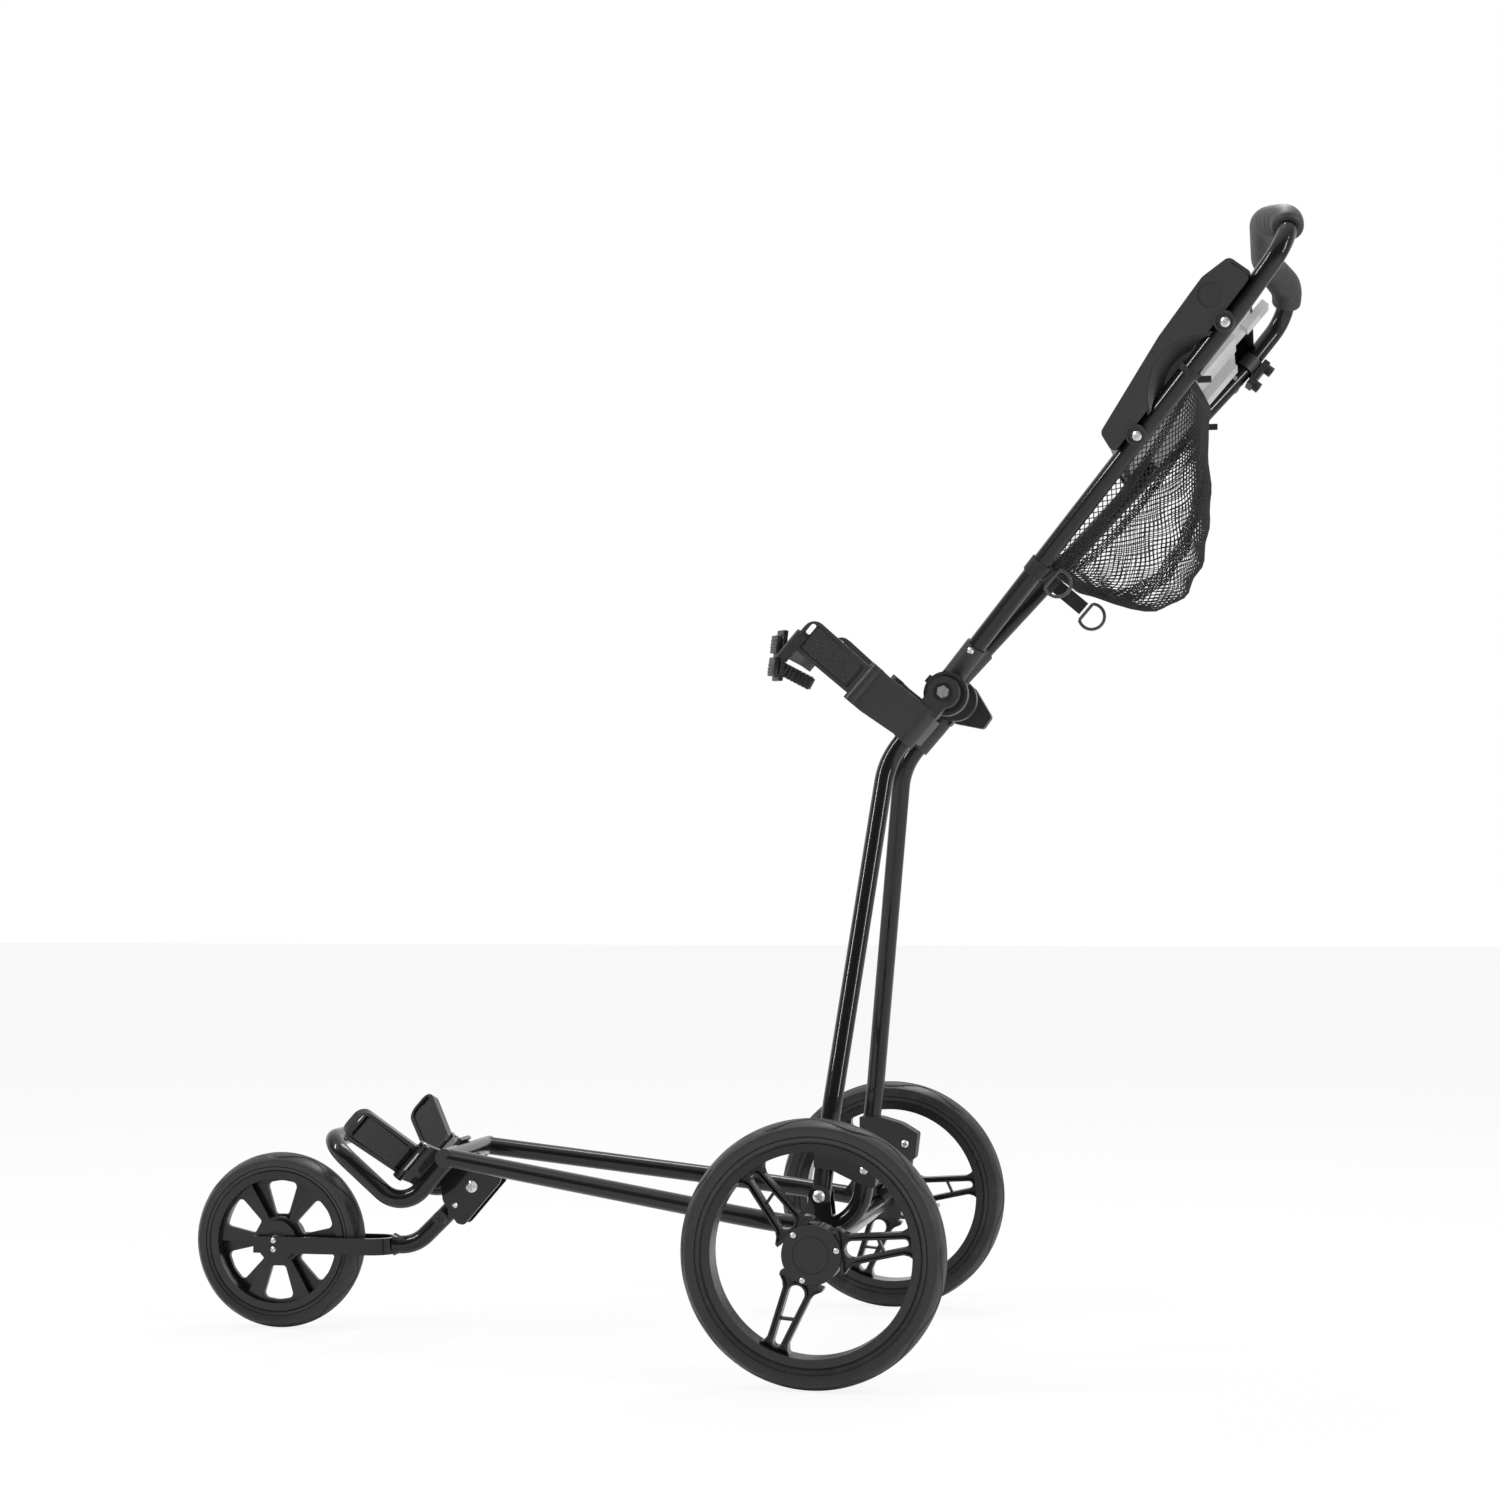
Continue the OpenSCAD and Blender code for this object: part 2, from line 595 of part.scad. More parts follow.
// The plates' outline, from the middle of the crossbar
bracket_side = rounded([[-48, -28], [-46, -36], [-1, -88], [8, -86], [26, -59], [31, -24], [11, -3],
    [-11, -3]], [3, 5, 6, 6, 12, 6, 2, 2]);
bracket_rivet = [11, -64]; // X and Z from the crossbar
rivet_d = 4;
button_at = [fork_pivot.x, 0, fork_pivot.y] - 55.5 * stem_line;
button_d = 17;
module fork_bracket() {
    on_ground() both() color("#1c1c1e") difference() {
        slab(plate_in, plate_in + plate_t) difference() {
            translate([cross_x, cross_z]) polygon(bracket_side);
            translate(fork_pivot) circle(d = pivot_bolt_d + 0.4);
            translate([cross_x, cross_z] + bracket_rivet) circle(d = rivet_d);
        }
        crossbar_cut();
    }
}
module fork_bolt() {
    on_ground() color("#d8dade") translate([fork_pivot.x, 0, fork_pivot.y]) {
        bar(-plate_in - plate_t - 6, plate_in + plate_t + 0.01, pivot_bolt_d);
        translate([0, plate_in + plate_t, 0]) rotate([-90, 0, 0]) pan_head(1.8 * pivot_bolt_d, 4.5);
        translate([0, -plate_in - plate_t, 0]) rotate([90, 0, 0]) hex_nut(1.6 * pivot_bolt_d, 5);
    }
    // a rivet in each plate
    on_ground() both() color("#d8dade") translate([cross_x + bracket_rivet.x, 0, cross_z
        + bracket_rivet.y]) {
        bar(plate_in + 0.3, plate_in + plate_t + 0.01, rivet_d - 2 * fit);
        translate([0, plate_in + plate_t, 0]) rotate([-90, 0, 0])
            cylinder(d1 = 1.8 * rivet_d, d2 = rivet_d, h = 1.6);
    }
}
module fork_plan(r) {
    circle(r = r);
    translate([0, -r]) square([fork_front - fork_rear - fork_out, 2 * r]);
}
module front_fork() {
    color("#1c1c1e") difference() {
        on_ground() fork_body();
        at_fork_screws() translate([0, 0, -fork_skin]) cylinder(d = fork_screw_d, h = fork_skin + cut);
    }
}
module fork_body() {
    difference() {
        union() {
            translate([fork_rear + fork_out, 0, fork_z - fork_h / 2])
                linear_extrude(height = fork_h) difference() {
                    fork_plan(fork_out);
                    fork_plan(fork_gap);
                    translate([fork_front - fork_rear - fork_out, -fork_out]) square(2 * fork_out);
                }
            bent_tube(stem_path, [stem_bend], tube_d, tube_wall);
            // the weld bead
            translate([fork_rear - 3, 0, fork_z + 1]) rotate([0, 90, 0]) difference() {
                cylinder(r1 = tube_r + 0.6, r2 = tube_r + 2.8, h = 5);
                translate([0, 0, -cut]) cylinder(r = tube_r - 1, h = 8);
            }
        }
        translate([wheelbase, 0, front_axle_z])
            bar(fork_skin - fork_out, fork_out - fork_skin, front_axle_d);
        translate([fork_pivot.x, 0, fork_pivot.y])
            bar(-tube_r - cut, tube_r + cut, pivot_bolt_d + 2 * fit);
        translate(button_at) bar(0, tube_r + cut, button_d / 2 + 2 * fit);
    }
}
module fold_button() {
    on_ground() color("#3c3c40") translate(button_at) {
        bar(2, tube_r + 4.5, button_d / 2);
        difference() {
            bar(tube_r + 4, tube_r + 7.5, button_d);
            translate([0, tube_r + 6.5, 0]) for (a = [0, 90]) rotate([0, a, 0])
                translate([-5, 0, -1]) cube([10, 3, 2]);
        }
    }
}

// ---- Lower bag cradle ----
lower_pin_w = 34; // distance of the pins in front of the crossbar
lower_low = -60; // lower end of an arm's knuckle, along the bag
lower_high = -17;
pin_d = 5;
knuckle_r = 6.5;
module cradle_plan(r) {
    polygon([[tube_r - 1, 22], [lower_pin_w - 3, lower_pin_half - 2], [lower_pin_w, lower_pin_half - 2],
        [lower_pin_w + 2, lower_pin_half - 5], [tube_r + 3.5, 20], [tube_r + 3.5, -20],
        [lower_pin_w + 2, 5 - lower_pin_half], [lower_pin_w, 2 - lower_pin_half],
        [lower_pin_w - 3, 2 - lower_pin_half], [tube_r - 1, -22]]);
    for (s = [-1, 1]) translate([lower_pin_w, s * lower_pin_half]) circle(r = r);
}
module cradle_base() {
    at_cross() color("#1c1c1e") difference() {
        union() {
            translate([0, 0, lower_low - 5]) linear_extrude(height = lower_high - lower_low + 10)
                cradle_plan(knuckle_r);
            translate([tube_r - 1, -20, lower_high]) cube([4.5, 40, tube_r - lower_high]);
        }
        bar(-cross_half, cross_half, tube_d + 2 * weld);
        for (s = [-1, 1]) translate([lower_pin_w, s * lower_pin_half, lower_low])
            cylinder(r = knuckle_r + air, h = lower_high - lower_low);
        for (s = [-1, 1]) translate([lower_pin_w, s * lower_pin_half, lower_low - 5 - cut])
            cylinder(d = pin_d, h = 90);
        translate([0, 0, lower_low + 12]) linear_extrude(height = lower_high - lower_low - 24)
            translate([0, -14]) square([60, 28]);
    }
}
module cradle_pins() {
    at_cross() color("#e2e4e8") for (s = [-1, 1])
        translate([lower_pin_w, s * lower_pin_half, lower_low - 6])
        cylinder(d = pin_d, h = lower_high - lower_low + 12);
}
// An arm: a rimmed plate on a knuckle of radius r. Its X runs from the pin to the tip, its Z along the
// bag and its Y outward. The pin is bare over the length bare in the middle of the knuckle
arm_rim = 4.5;
arm_in = -4;
arm_face = 6;
module arm(len, r, low, high, tip_low, tip_high, bare = 0) {
    outline = [[r + 2, low + 1], [len, tip_low], [len, tip_high], [r + 2, high - 1]];
    inset = [[r + 3, low + 1 + arm_rim], [len - arm_rim, tip_low + arm_rim],
        [len - arm_rim, tip_high - arm_rim], [r + 3, high - 1 - arm_rim]];
    slot = [len - arm_rim - 0.5, tip_high - arm_rim - 1.5]; // its far upper corner
    difference() {
        union() {
            translate([0, 0, low]) cylinder(r = r, h = high - low);
            translate([0, 0, low + 1]) linear_extrude(height = high - low - 2)
                polygon([[0, 2 - r], [r + 6, arm_in], [r + 6, arm_face], [0, r - 3]]);
            slab(arm_in, arm_face) polygon(rounded(outline, [1, 14, 14, 1]));
        }
        slab(arm_face - 3, arm_face + cut) polygon(rounded(inset, [3, 9, 9, 3]));
        slab(arm_in - cut, arm_in + 2) polygon(rounded(inset, [3, 9, 9, 3]));
        slab(arm_in - cut, arm_face + cut)
            polygon(rounded([slot - [6, 14], slot - [0, 14], slot, slot - [6, 0]], [2, 2, 3.5, 2]));
        translate([0, 0, low - cut]) cylinder(d = pin_d + 2 * fit, h = high - low + 2 * cut);
        if (bare > 0) translate([-r - cut, -r - cut, (low + high - bare) / 2])
            cube([r + cut + pin_d / 2 + 1, 2 * (r + cut), bare]);
    }
}
module lower_arm(s) {
    at_cross() side(s) color("#3c3c40") translate([lower_pin_w, lower_pin_half, 0])
        rotate([0, 0, lower_spread])
        arm(lower_arm_len, knuckle_r, lower_low + air, lower_high - air, lower_low + 8, lower_high + 8,
            lower_high - lower_low - 14);
}

// ---- Upper bag bracket ----
sleeve_d = 27;
sleeve_low = -75;
sleeve_high = -25;
cheek_in = 58;
cheek_out = 80;
cheek_r = 18.5;
cheek_foot = sqrt(pow(cheek_r, 2) - pow(sleeve_d / 2, 2)); // where a cheek narrows to its sleeve's width
upper_low = -74; // lower end of an upper arm's knuckle, along the handle
upper_high = -31;
lug_t = 5;
upper_knuckle_r = 8.5;
module upper_side() {
    polygon(rounded([[0, sleeve_high], [upper_pin_w - 18, upper_high + lug_t - 1],
        [upper_pin_w, upper_high + lug_t], [upper_pin_w, upper_low - lug_t],
        [upper_pin_w - 18, upper_low - lug_t], [0, sleeve_low + 2]], [1, 12, 1, 1, 12, 1]));
}
module saddle_plan() {
    polygon(concat([for (t = [-1:0.125:1]) [8 - 13 * (1 - t * t), t * (sleeve_half - 6)]],
        [for (t = [1:-0.125:-1]) [3 - 12 * (1 - t * t), t * (sleeve_half - 6)]]));
}
module upper_bracket() {
    in_mast() color("#5a5a60") difference() {
        union() {
            both() {
                translate([0, sleeve_half, sleeve_low])
                    cylinder(d = sleeve_d, h = sleeve_high - sleeve_low);
                slab(cheek_in, cheek_out) circle(r = cheek_r);
                slab(cheek_in, cheek_out) translate([-sleeve_d / 2, sleeve_high - 4])
                    square([sleeve_d, -cheek_foot - sleeve_high + 4]);
                intersection() {
                    translate([0, 0, sleeve_low - 10]) linear_extrude(height = 70)
                        polygon([[0, cheek_out + 1], [upper_pin_w - 4, upper_pin_half + 5],
                            [upper_pin_w, upper_pin_half + 2], [upper_pin_w, upper_pin_half - 5],
                                [0, cheek_out - 9]]);
                    slab(60, 110) upper_side();
                }
                for (z = [upper_low - lug_t, upper_high]) translate([upper_pin_w, upper_pin_half, z])
                    cylinder(r = upper_knuckle_r, h = lug_t);
            }
            translate([0, 0, sleeve_low + 6]) linear_extrude(height = sleeve_high - sleeve_low - 14)
                saddle_plan();
        }
        both() {
            translate([0, sleeve_half, sleeve_low - cut])
                cylinder(d = tube_d + 2 * fit, h = mast_end - sleeve_low + cut);
            translate([upper_pin_w, upper_pin_half, upper_low])
                cylinder(r = upper_knuckle_r + air, h = upper_high - upper_low);
            translate([upper_pin_w, upper_pin_half, upper_low - lug_t - cut]) cylinder(d = pin_d, h = 80);
            bar(cheek_in - cut, cheek_out + cut, pivot_bolt_d + 2 * fit);
            translate([0, cheek_out - 3, 0]) bar(0, 5, 22);
        }
        bar(-hub_disc_out - 1, hub_disc_out + 1, 2 * hub_disc_r + 2);
    }
}
module upper_pins() {
    in_mast() both() color("#c9ccd1") translate([upper_pin_w, upper_pin_half, upper_low - lug_t])
        cylinder(d = pin_d, h = upper_high - upper_low + 2 * lug_t);
}
module upper_arm(s) {
    in_mast() side(s) color("#4a4a4e") translate([upper_pin_w, upper_pin_half, 0])
        rotate([0, 0, upper_spread])
        arm(upper_arm_len, upper_knuckle_r, upper_low + air, upper_high - air, upper_low + 1,
            upper_low + arm_h - 12);
}
module hinge_bolt() {
    in_mast() color("#d8dade") {
        bar(-lever_out - 3, cheek_out + 4, pivot_bolt_d);
        translate([0, cheek_out - 3, 0]) rotate([-90, 0, 0]) hex_nut(13, 6.5);
    }
}
lever_in = 84;
lever_out = 104;
module hinge_lever() {
    in_mast() color("#48484c") difference() {
        union() {
            translate([0, -lever_in, 0]) mirror([0, 1, 0]) bar(-3.5, 0.01, 30);
            slab(-lever_out, -lever_in) {
                circle(r = 17);
                polygon(rounded([[-2, 26], [-42, 12], [-44, -6], [-10, -25], [6, -12], [6, 12]],
                    [4, 5, 5, 6, 3, 3]));
            }
        }
        bar(-lever_out - cut, -lever_in + 4 + cut, pivot_bolt_d + 2 * fit);
        slab(-lever_out - cut, -lever_out + 4) circle(r = 10);
    }
}

// ---- Strap across the upper arms ----
strap_t = 2;
strap_w = 38;
tip_w = upper_pin_w + upper_arm_len * cos(upper_spread);
tip_y = upper_pin_half + upper_arm_len * sin(upper_spread);
strap_low = upper_low - 18;
module bag_strap() {
    e = [cos(upper_spread), sin(upper_spread)];
    tip = [tip_w, tip_y] + air * e;
    p = [tip + 6 * [-e.y, e.x], tip - 4 * [-e.y, e.x], [tip_w + 7, tip_y - 24], [tip_w + 9, 0]];
    line = concat(p, [for (i = [2:-1:0]) [p[i].x, -p[i].y]]);
    in_mast() color("#2a2a2c") difference() {
        translate([0, 0, strap_low]) linear_extrude(height = strap_w)
            polygon(concat(line, [for (q = reversed(line)) [q.x + strap_t, q.y]]));
        buckle_block(air);
    }
}
buckle_len = 60;
module buckle_block(grow) {
    h = buckle_len / 2;
    translate([tip_w + 5, tip_y - 36, strap_low + 1]) rotate([0, 34, 0]) rotate([0, 0, 28])
        slab(-13 - grow, 13 + grow)
        polygon(rounded([[-1 - grow, -h], [9, -h], [12 + grow, 0], [9, h], [-1 - grow, h]],
            [2, 3, 6, 3, 2]));
}
module strap_buckle() { in_mast() color("#3a3a3d") buckle_block(0); }

// ---- Handle ----
hub_disc_in = 40;
hub_disc_out = 56;
hub_disc_r = 26;
hub_core_r = 16;
flare = tan(handle_flare);
function handle_y(u) = hub_half + flare * u;
console_high = console_low + console_span;
spread_end = console_high + 17; // where the handle tubes start to close in
tube_start = 26;
handle_half_path = [[handle_rise, handle_y(tube_start), tube_start],
    [handle_rise, handle_y(spread_end), spread_end],
    [handle_rise + 7, grip_half + 2, handle_len + 5],
        [handle_rise + grip_arch + 1, grip_half / 2 - 3, handle_len]];
handle_path = concat(handle_half_path, reversed(mirrored(handle_half_path)));
handle_bends = [200, 45, 120, 120, 45, 200];
module handle_tube() {
    in_mast() color("#1c1c1e") difference() {
        bent_tube(handle_path, handle_bends, tube_d, tube_wall);
        both() at_wall() for (u = [console_low, console_high])
            translate([handle_rise, 0, u / cos(handle_flare)])
                bar(-tube_r - cut, tube_r + cut, bolt_d + 2 * fit);
    }
}
socket_end = 65;
socket_d = 27;
hub_screw_u = 57;
module handle_hub() {
    axis = along(handle_path, 0);
    root = handle_path[0] - 24 * axis;
    in_mast() color("#5a5a60") difference() {
        union() {
            bar(-hub_disc_in - 1, hub_disc_in + 1, 2 * hub_core_r);
            both() {
                bar(hub_disc_in, hub_disc_out, 2 * hub_disc_r);
                straight(root, root + (socket_end - 2) / cos(handle_flare) * axis, socket_d, 0);
                slab(12, hub_disc_in + 1) polygon([[-8, 0], [hub_disc_r - 6, -6],
                    [hub_disc_r - 4, 20], [-2, 26]]);
            }
            translate([hub_disc_r - 5, 36, -5]) cube([9, 10, 10]);
        }
        both() {
            translate([0, hub_disc_out - 3, 0]) rotate([-90, 0, 0]) difference() {
                cylinder(r = hub_disc_r - 4, h = 5);
                translate([0, 0, -cut]) cylinder(r = 9, h = 10);
            }
            straight(handle_path[0], handle_path[0] + 80 * axis, tube_d + 2 * fit, 0);
        }
        bar(-hub_disc_out - cut, hub_disc_out + cut, pivot_bolt_d + 2 * fit);
    }
}
module hub_screws() {
    axis = along(handle_path, 0);
    in_mast() both() color("#d8dade")
        stand([handle_rise, handle_y(hub_screw_u) + socket_d / 2 / cos(handle_flare), hub_screw_u],
            cross(axis, [1, 0, 0]) * 1, axis) pan_head(8, 2.4);
}
grip_from = 0.62; // share of the last bend that is left bare
module grip() {
    wall = (grip_d - tube_d) / 2 - fit;
    d = handle_bends;
    in_mast() color("#4d4d50") union() {
        both() {
            elbow(handle_path, d, 2, grip_d, wall, grip_from, 1);
            elbow(handle_path, d, 3, grip_d, wall);
        }
        for (i = [2, 3, 4])
            straight(handle_path[i] + (set_back(handle_path, d, i) - lap_len) * along(handle_path, i),
                handle_path[i + 1] - (set_back(handle_path, d, i + 1) - lap_len) * along(handle_path,
                    i), grip_d, wall);
    }
}
// The grip's rearmost point sets the cart's length, and with it the origin
rear_arc = bend_centre(handle_path, handle_bends, 2);
rear_axis = cross(along(handle_path, 1), bend_normal(handle_path, 2));
back = [-cos(lean), 0, sin(lean)]; // straight back, in the mast frame
rear_reach = hinge_back + rear_arc * back
    + handle_bends[1] * norm(back - (back * rear_axis) * rear_axis) + grip_d / 2;
mid_x = (wheelbase + front_wheel_d / 2 - rear_reach) / 2;

// ---- Console between the handle tubes ----
// The wall frame lies along a handle tube: its Z runs up the tube and its Y points outward from it
module at_wall() { translate([0, hub_half, 0]) rotate([-handle_flare, 0, 0]) children(); }
function walled(p) = [for (q = p) [q.x, q.y / cos(handle_flare)]];
console_from = console_low - 32;
console_to = console_high + 53;
console_foot = handle_rise + 9; // lower edge of the side walls
console_top = handle_rise + tube_r + console_h;
wall_in = tube_r + air;
wall_t = 3;
boss_r = 12;
bolt_d = 6;
lid_from = console_high - 50;
lid_to = console_high + 15;
lid_half = 62;
lid_t = 3;
lid_pin = [console_top + 2.5, lid_from - 4]; // W and U of the lid's hinge
arch_r = 66;
arch_mid = (console_low + console_high) / 2 + 4;
arch_at = [console_foot + 26 - arch_r, 0, arch_mid / cos(handle_flare)]; // in the wall frame
scoop = 14; // depth of the hand scoop behind each arch
function console_points(i) = [[i > 0 ? -20 : console_foot, console_from + i],
    [console_foot + 27 - i, console_from + 9 + i], [console_top - 2 - i, lid_from - 6],
    [console_top - i, lid_to + 2], [console_top - 10 - i, console_to - 2 - i],
    [i > 0 ? -20 : console_foot, console_to - i]];
console_rounding = [6, 8, 60, 20, 8, 6];
// A prism across the handle, as wide as the two handle tubes plus grow on each side
module between_tubes(u0, u1, w0, w1, grow) {
    g = grow / cos(handle_flare);
    place([0, 1, 0], [0, 0, 1], [1, 0, 0], [w0, 0, 0]) linear_extrude(height = w1 - w0)
        polygon([[-handle_y(u0) - g, u0], [handle_y(u0) + g, u0], [handle_y(u1) + g, u1],
            [-handle_y(u1) - g, u1]]);
}
module console_wall() {
    difference() {
        slab(wall_in, wall_in + wall_t) difference() {
            union() {
                polygon(walled(rounded(console_points(0), console_rounding)));
                for (u = [console_low, console_high]) translate([handle_rise + 2, u / cos(handle_flare)])
                    circle(r = boss_r);
            }
            translate([arch_at.x, arch_at.z]) circle(r = arch_r);
        }
        translate([console_foot + 24, 0, (console_high + 12) / cos(handle_flare)])
            bar(wall_in + wall_t - 1.2, wall_in + wall_t + cut, 2 * boss_r + 4);
        for (u = [console_low, console_high]) translate([handle_rise, 0, u / cos(handle_flare)])
            bar(0, 60, bolt_d + 2 * fit);
    }
    // the rims of the bosses
    for (u = [console_low, console_high]) translate([handle_rise + 2, 0, u / cos(handle_flare)])
        difference() {
        bar(wall_in + wall_t - 0.01, wall_in + wall_t + 2, 2 * boss_r);
        bar(0, 60, 2 * boss_r - 5);
    }
}
// The scoop is a slanted ledge and a floor, open below, where the handle tube runs
module console_scoop() {
    difference() {
        intersection() {
            translate(arch_at) rotate([-90, 0, 0]) translate([0, 0, wall_in - scoop - wall_t])
                cylinder(r1 = arch_r - scoop, r2 = arch_r + wall_t + 0.5, h = scoop + 2 * wall_t - 0.5);
            translate([handle_rise + 5, wall_in - scoop - wall_t - cut, arch_at.z - arch_r])
                cube([arch_r, scoop + 2 * wall_t, 2 * arch_r]);
        }
        translate(arch_at) rotate([-90, 0, 0]) translate([0, 0, wall_in - scoop])
            cylinder(r1 = arch_r - scoop - 1, r2 = arch_r, h = scoop + wall_t + 0.01);
        // room for the net's webbing round the tube
        translate([handle_rise, 0, 0]) cylinder(r = tube_r + 2 * air + band_t, h = 2 * arch_at.z);
    }
}
module console_tray() {
    in_mast() color("#4f4f54") difference() {
        union() {
            intersection() {
                slab(-260, 260) polygon(rounded(console_points(0), console_rounding));
                difference() {
                    between_tubes(console_from - 5, console_to + 5, -20, 120, wall_in + wall_t);
                    intersection() {
                        slab(-260, 260) polygon(rounded(console_points(wall_t), console_rounding));
                        between_tubes(console_from - 5, console_to + 5, -20, 120, wall_in + wall_t + cut);
                    }
                }
            }
            both() at_wall() {
                console_wall();
                console_scoop();
            }
            both() translate([lid_pin.x, 0, lid_pin.y]) {
                bar(lid_half - 22, lid_half - 14, 7);
                translate([-7, lid_half - 22, -3.5]) cube([7, 8, 7]);
            }
        }
        bent_tube(handle_path, handle_bends, tube_d + 2 * air, 0);
        translate([console_top - 20, 6 - lid_half, lid_from + 6])
            cube([40, 2 * lid_half - 12, lid_to - lid_from - 12]);
        translate([0, -16 - air, console_to - 10]) cube([handle_rise + tube_r + 1, 32 + 2 * air, 20]);
        both() translate([lid_pin.x, 0, lid_pin.y]) bar(lid_half - 22 - cut, lid_half - 14 + cut, 3);
    }
}
module console_base() {
    w0 = handle_rise + tube_r + 0.5;
    in_mast() color("#d4d6d8") difference() {
        union() {
            between_tubes(console_from + wall_t + 7, spread_end, w0, w0 + 3, -tube_r - 4);
            translate([w0, -70, spread_end - 1]) cube([3, 140, console_to - wall_t - 2 - spread_end + 1]);
            translate([w0 - 8, -46, console_low - 16]) cube([8.01, 92, console_span + 28]);
            both() translate([w0 - 18, 62, console_low + 6]) cube([18.01, 42, console_span - 4]);
            translate([w0 - 10, -16, console_to - 22]) cube([10.01, 32, 38]);
        }
        // hollows of the rails and slots of the end bracket
        translate([w0 - 6, -42, console_low - 12]) cube([20, 84, console_span + 20]);
        both() translate([w0 - 15, 66, console_low + 10]) cube([30, 34, console_span - 12]);
        for (y = [-11, 2]) translate([w0 - 12, y, console_to + 1]) cube([30, 9, 12]);
    }
}
module console_lid() {
    in_mast() color("#454549") union() {
        slab(-lid_half, lid_half) polygon([[console_top - 1.7, lid_from], [console_top + 0.3, lid_to],
            [console_top + 0.3 + lid_t, lid_to], [console_top - 1.7 + lid_t, lid_from]]);
        both() translate([lid_pin.x, 0, lid_pin.y]) {
            bar(lid_half - 13.5, lid_half - 5, 6.5);
            translate([-1.5, lid_half - 13.5, 0]) cube([3, 8.5, 7]);
            bar(lid_half - 23, lid_half - 13, 3 - 2 * fit);
        }
    }
}
module console_bolts() {
    in_mast() both() at_wall() color("#d8dade") for (u = [console_low, console_high])
        translate([handle_rise, 0, u / cos(handle_flare)]) {
            bar(-tube_r, wall_in + wall_t + 0.01, bolt_d);
            translate([0, wall_in + wall_t, 0]) rotate([-90, 0, 0]) pan_head(11, 3);
        }
}

// ---- Accessory clamp under the right handle tube ----
clamp_bore = tube_d + 2;
clamp_t = 2.5;
clamp_shift = 8; // how far the clamp sits past the start of the tube's inward bend
nub_d = 13;
nub_bore = 6;
nub_len = 12; // depth of a nub's bore
nub_at = [-13, 13]; // along the tube, from the clamp's middle
nub_low = -29; // free ends of the nubs, below the tube's middle
module accessory_clamp() {
    in_mast() mirror([0, 1, 0]) color("#55555a")
        stand(handle_path[1] + clamp_shift * along(handle_path, 1),
            mix(along(handle_path, 0), along(handle_path, 1), 0.82)) difference() {
            union() {
                translate([0, 0, -6]) cylinder(r = clamp_bore / 2 + clamp_t, h = 19);
                translate([-21, -10, -19]) cube([8, 20, 38]);
                for (z = nub_at) translate([nub_low, 0, z]) rotate([0, 90, 0])
                    cylinder(d = nub_d, h = -13 - nub_low);
            }
            translate([0, 0, -40]) cylinder(d = clamp_bore, h = 90);
            translate([tube_r - 0.4, -20, -20]) cube([20, 40, 50]);
            for (z = nub_at) translate([nub_low - cut, 0, z]) rotate([0, 90, 0])
                cylinder(d = nub_bore, h = nub_len + cut);
        }
}

// ---- Net bag slung under the handle tubes ----
net_from = 192;
net_to = 450;
net_t = 2.4;
net_sag = [[190, 16], [200, 60], [225, 117], [264, 138], [314, 125], [374, 85], [416, 43], [450, 18]];
net_u = [for (k = [0:14]) mix(net_from, net_to, k / 14)];
net_cols = 12;
function net_point(u, a, thin) =
    let (h = (handle_y(u) - (tube_r + air) / cos(handle_flare)) - thin, d = lookup(u, net_sag) - thin)
    [handle_rise - (d + handle_rise - 2) * pow(abs(cos(a)), 0.7), h * sin(a), u];
function net_rows(thin) = [for (u = net_u) for (k = [0:net_cols])
    net_point(u, mix(-90, 90, k / net_cols), thin)];
module net_bag() {
    n = net_cols + 1;
    m = len(net_u);
    pts = concat(net_rows(0), net_rows(net_t));
    o = m * n;
    in_mast() color("#1e1e20") polyhedron(points = pts, convexity = 6, faces = concat(
        [for (i = [0:m - 2]) for (k = [0:n - 2]) each [[i * n + k, i * n + k + 1, (i + 1) * n + k + 1],
            [i * n + k, (i + 1) * n + k + 1, (i + 1) * n + k]]],
        [for (i = [0:m - 2]) for (k = [0:n - 2])
            each [[o + i * n + k, o + (i + 1) * n + k + 1, o + i * n + k + 1],
            [o + i * n + k, o + (i + 1) * n + k, o + (i + 1) * n + k + 1]]],
        [for (i = [0:m - 2]) each [[i * n, (i + 1) * n, o + (i + 1) * n],
            [i * n, o + (i + 1) * n, o + i * n]]],
        [for (i = [0:m - 2]) each [[i * n + n - 1, o + (i + 1) * n + n - 1, (i + 1) * n + n - 1],
            [i * n + n - 1, o + i * n + n - 1, o + (i + 1) * n + n - 1]]],
        [for (k = [0:n - 2]) each [[k, o + k + 1, k + 1], [k, o + k, o + k + 1]]],
        [for (k = [0:n - 2]) each [[(m - 1) * n + k, (m - 1) * n + k + 1, o + (m - 1) * n + k + 1],
            [(m - 1) * n + k, o + (m - 1) * n + k + 1, o + (m - 1) * n + k]]]));
}
strap_u = 180;
ring_d = 34;
ring_wire = 4;
band_t = 1.6; // thickness of the webbing round the tubes
module net_straps() {
    in_mast() color("#232325") {
        // webbing round each tube, above and below the net
        both() at_wall() for (b = [[strap_u, 18], [net_to + 7, 10]])
            translate([handle_rise, 0, (b[0] - b[1] / 2) / cos(handle_flare)]) difference() {
                cylinder(r = tube_r + air + band_t, h = b[1]);
                translate([0, 0, -cut]) cylinder(r = tube_r + air, h = b[1] + 2 * cut);
            }
    }
}
module d_rings() {
    in_mast() color("#3a3a3c") both()
        translate([handle_rise - tube_r - 2.2 - ring_d / 2, handle_y(strap_u), strap_u])
            rotate([0, 20, 0])
        rotate([90, 0, 0]) rotate_extrude() translate([(ring_d - ring_wire) / 2, 0])
            circle(d = ring_wire);
}

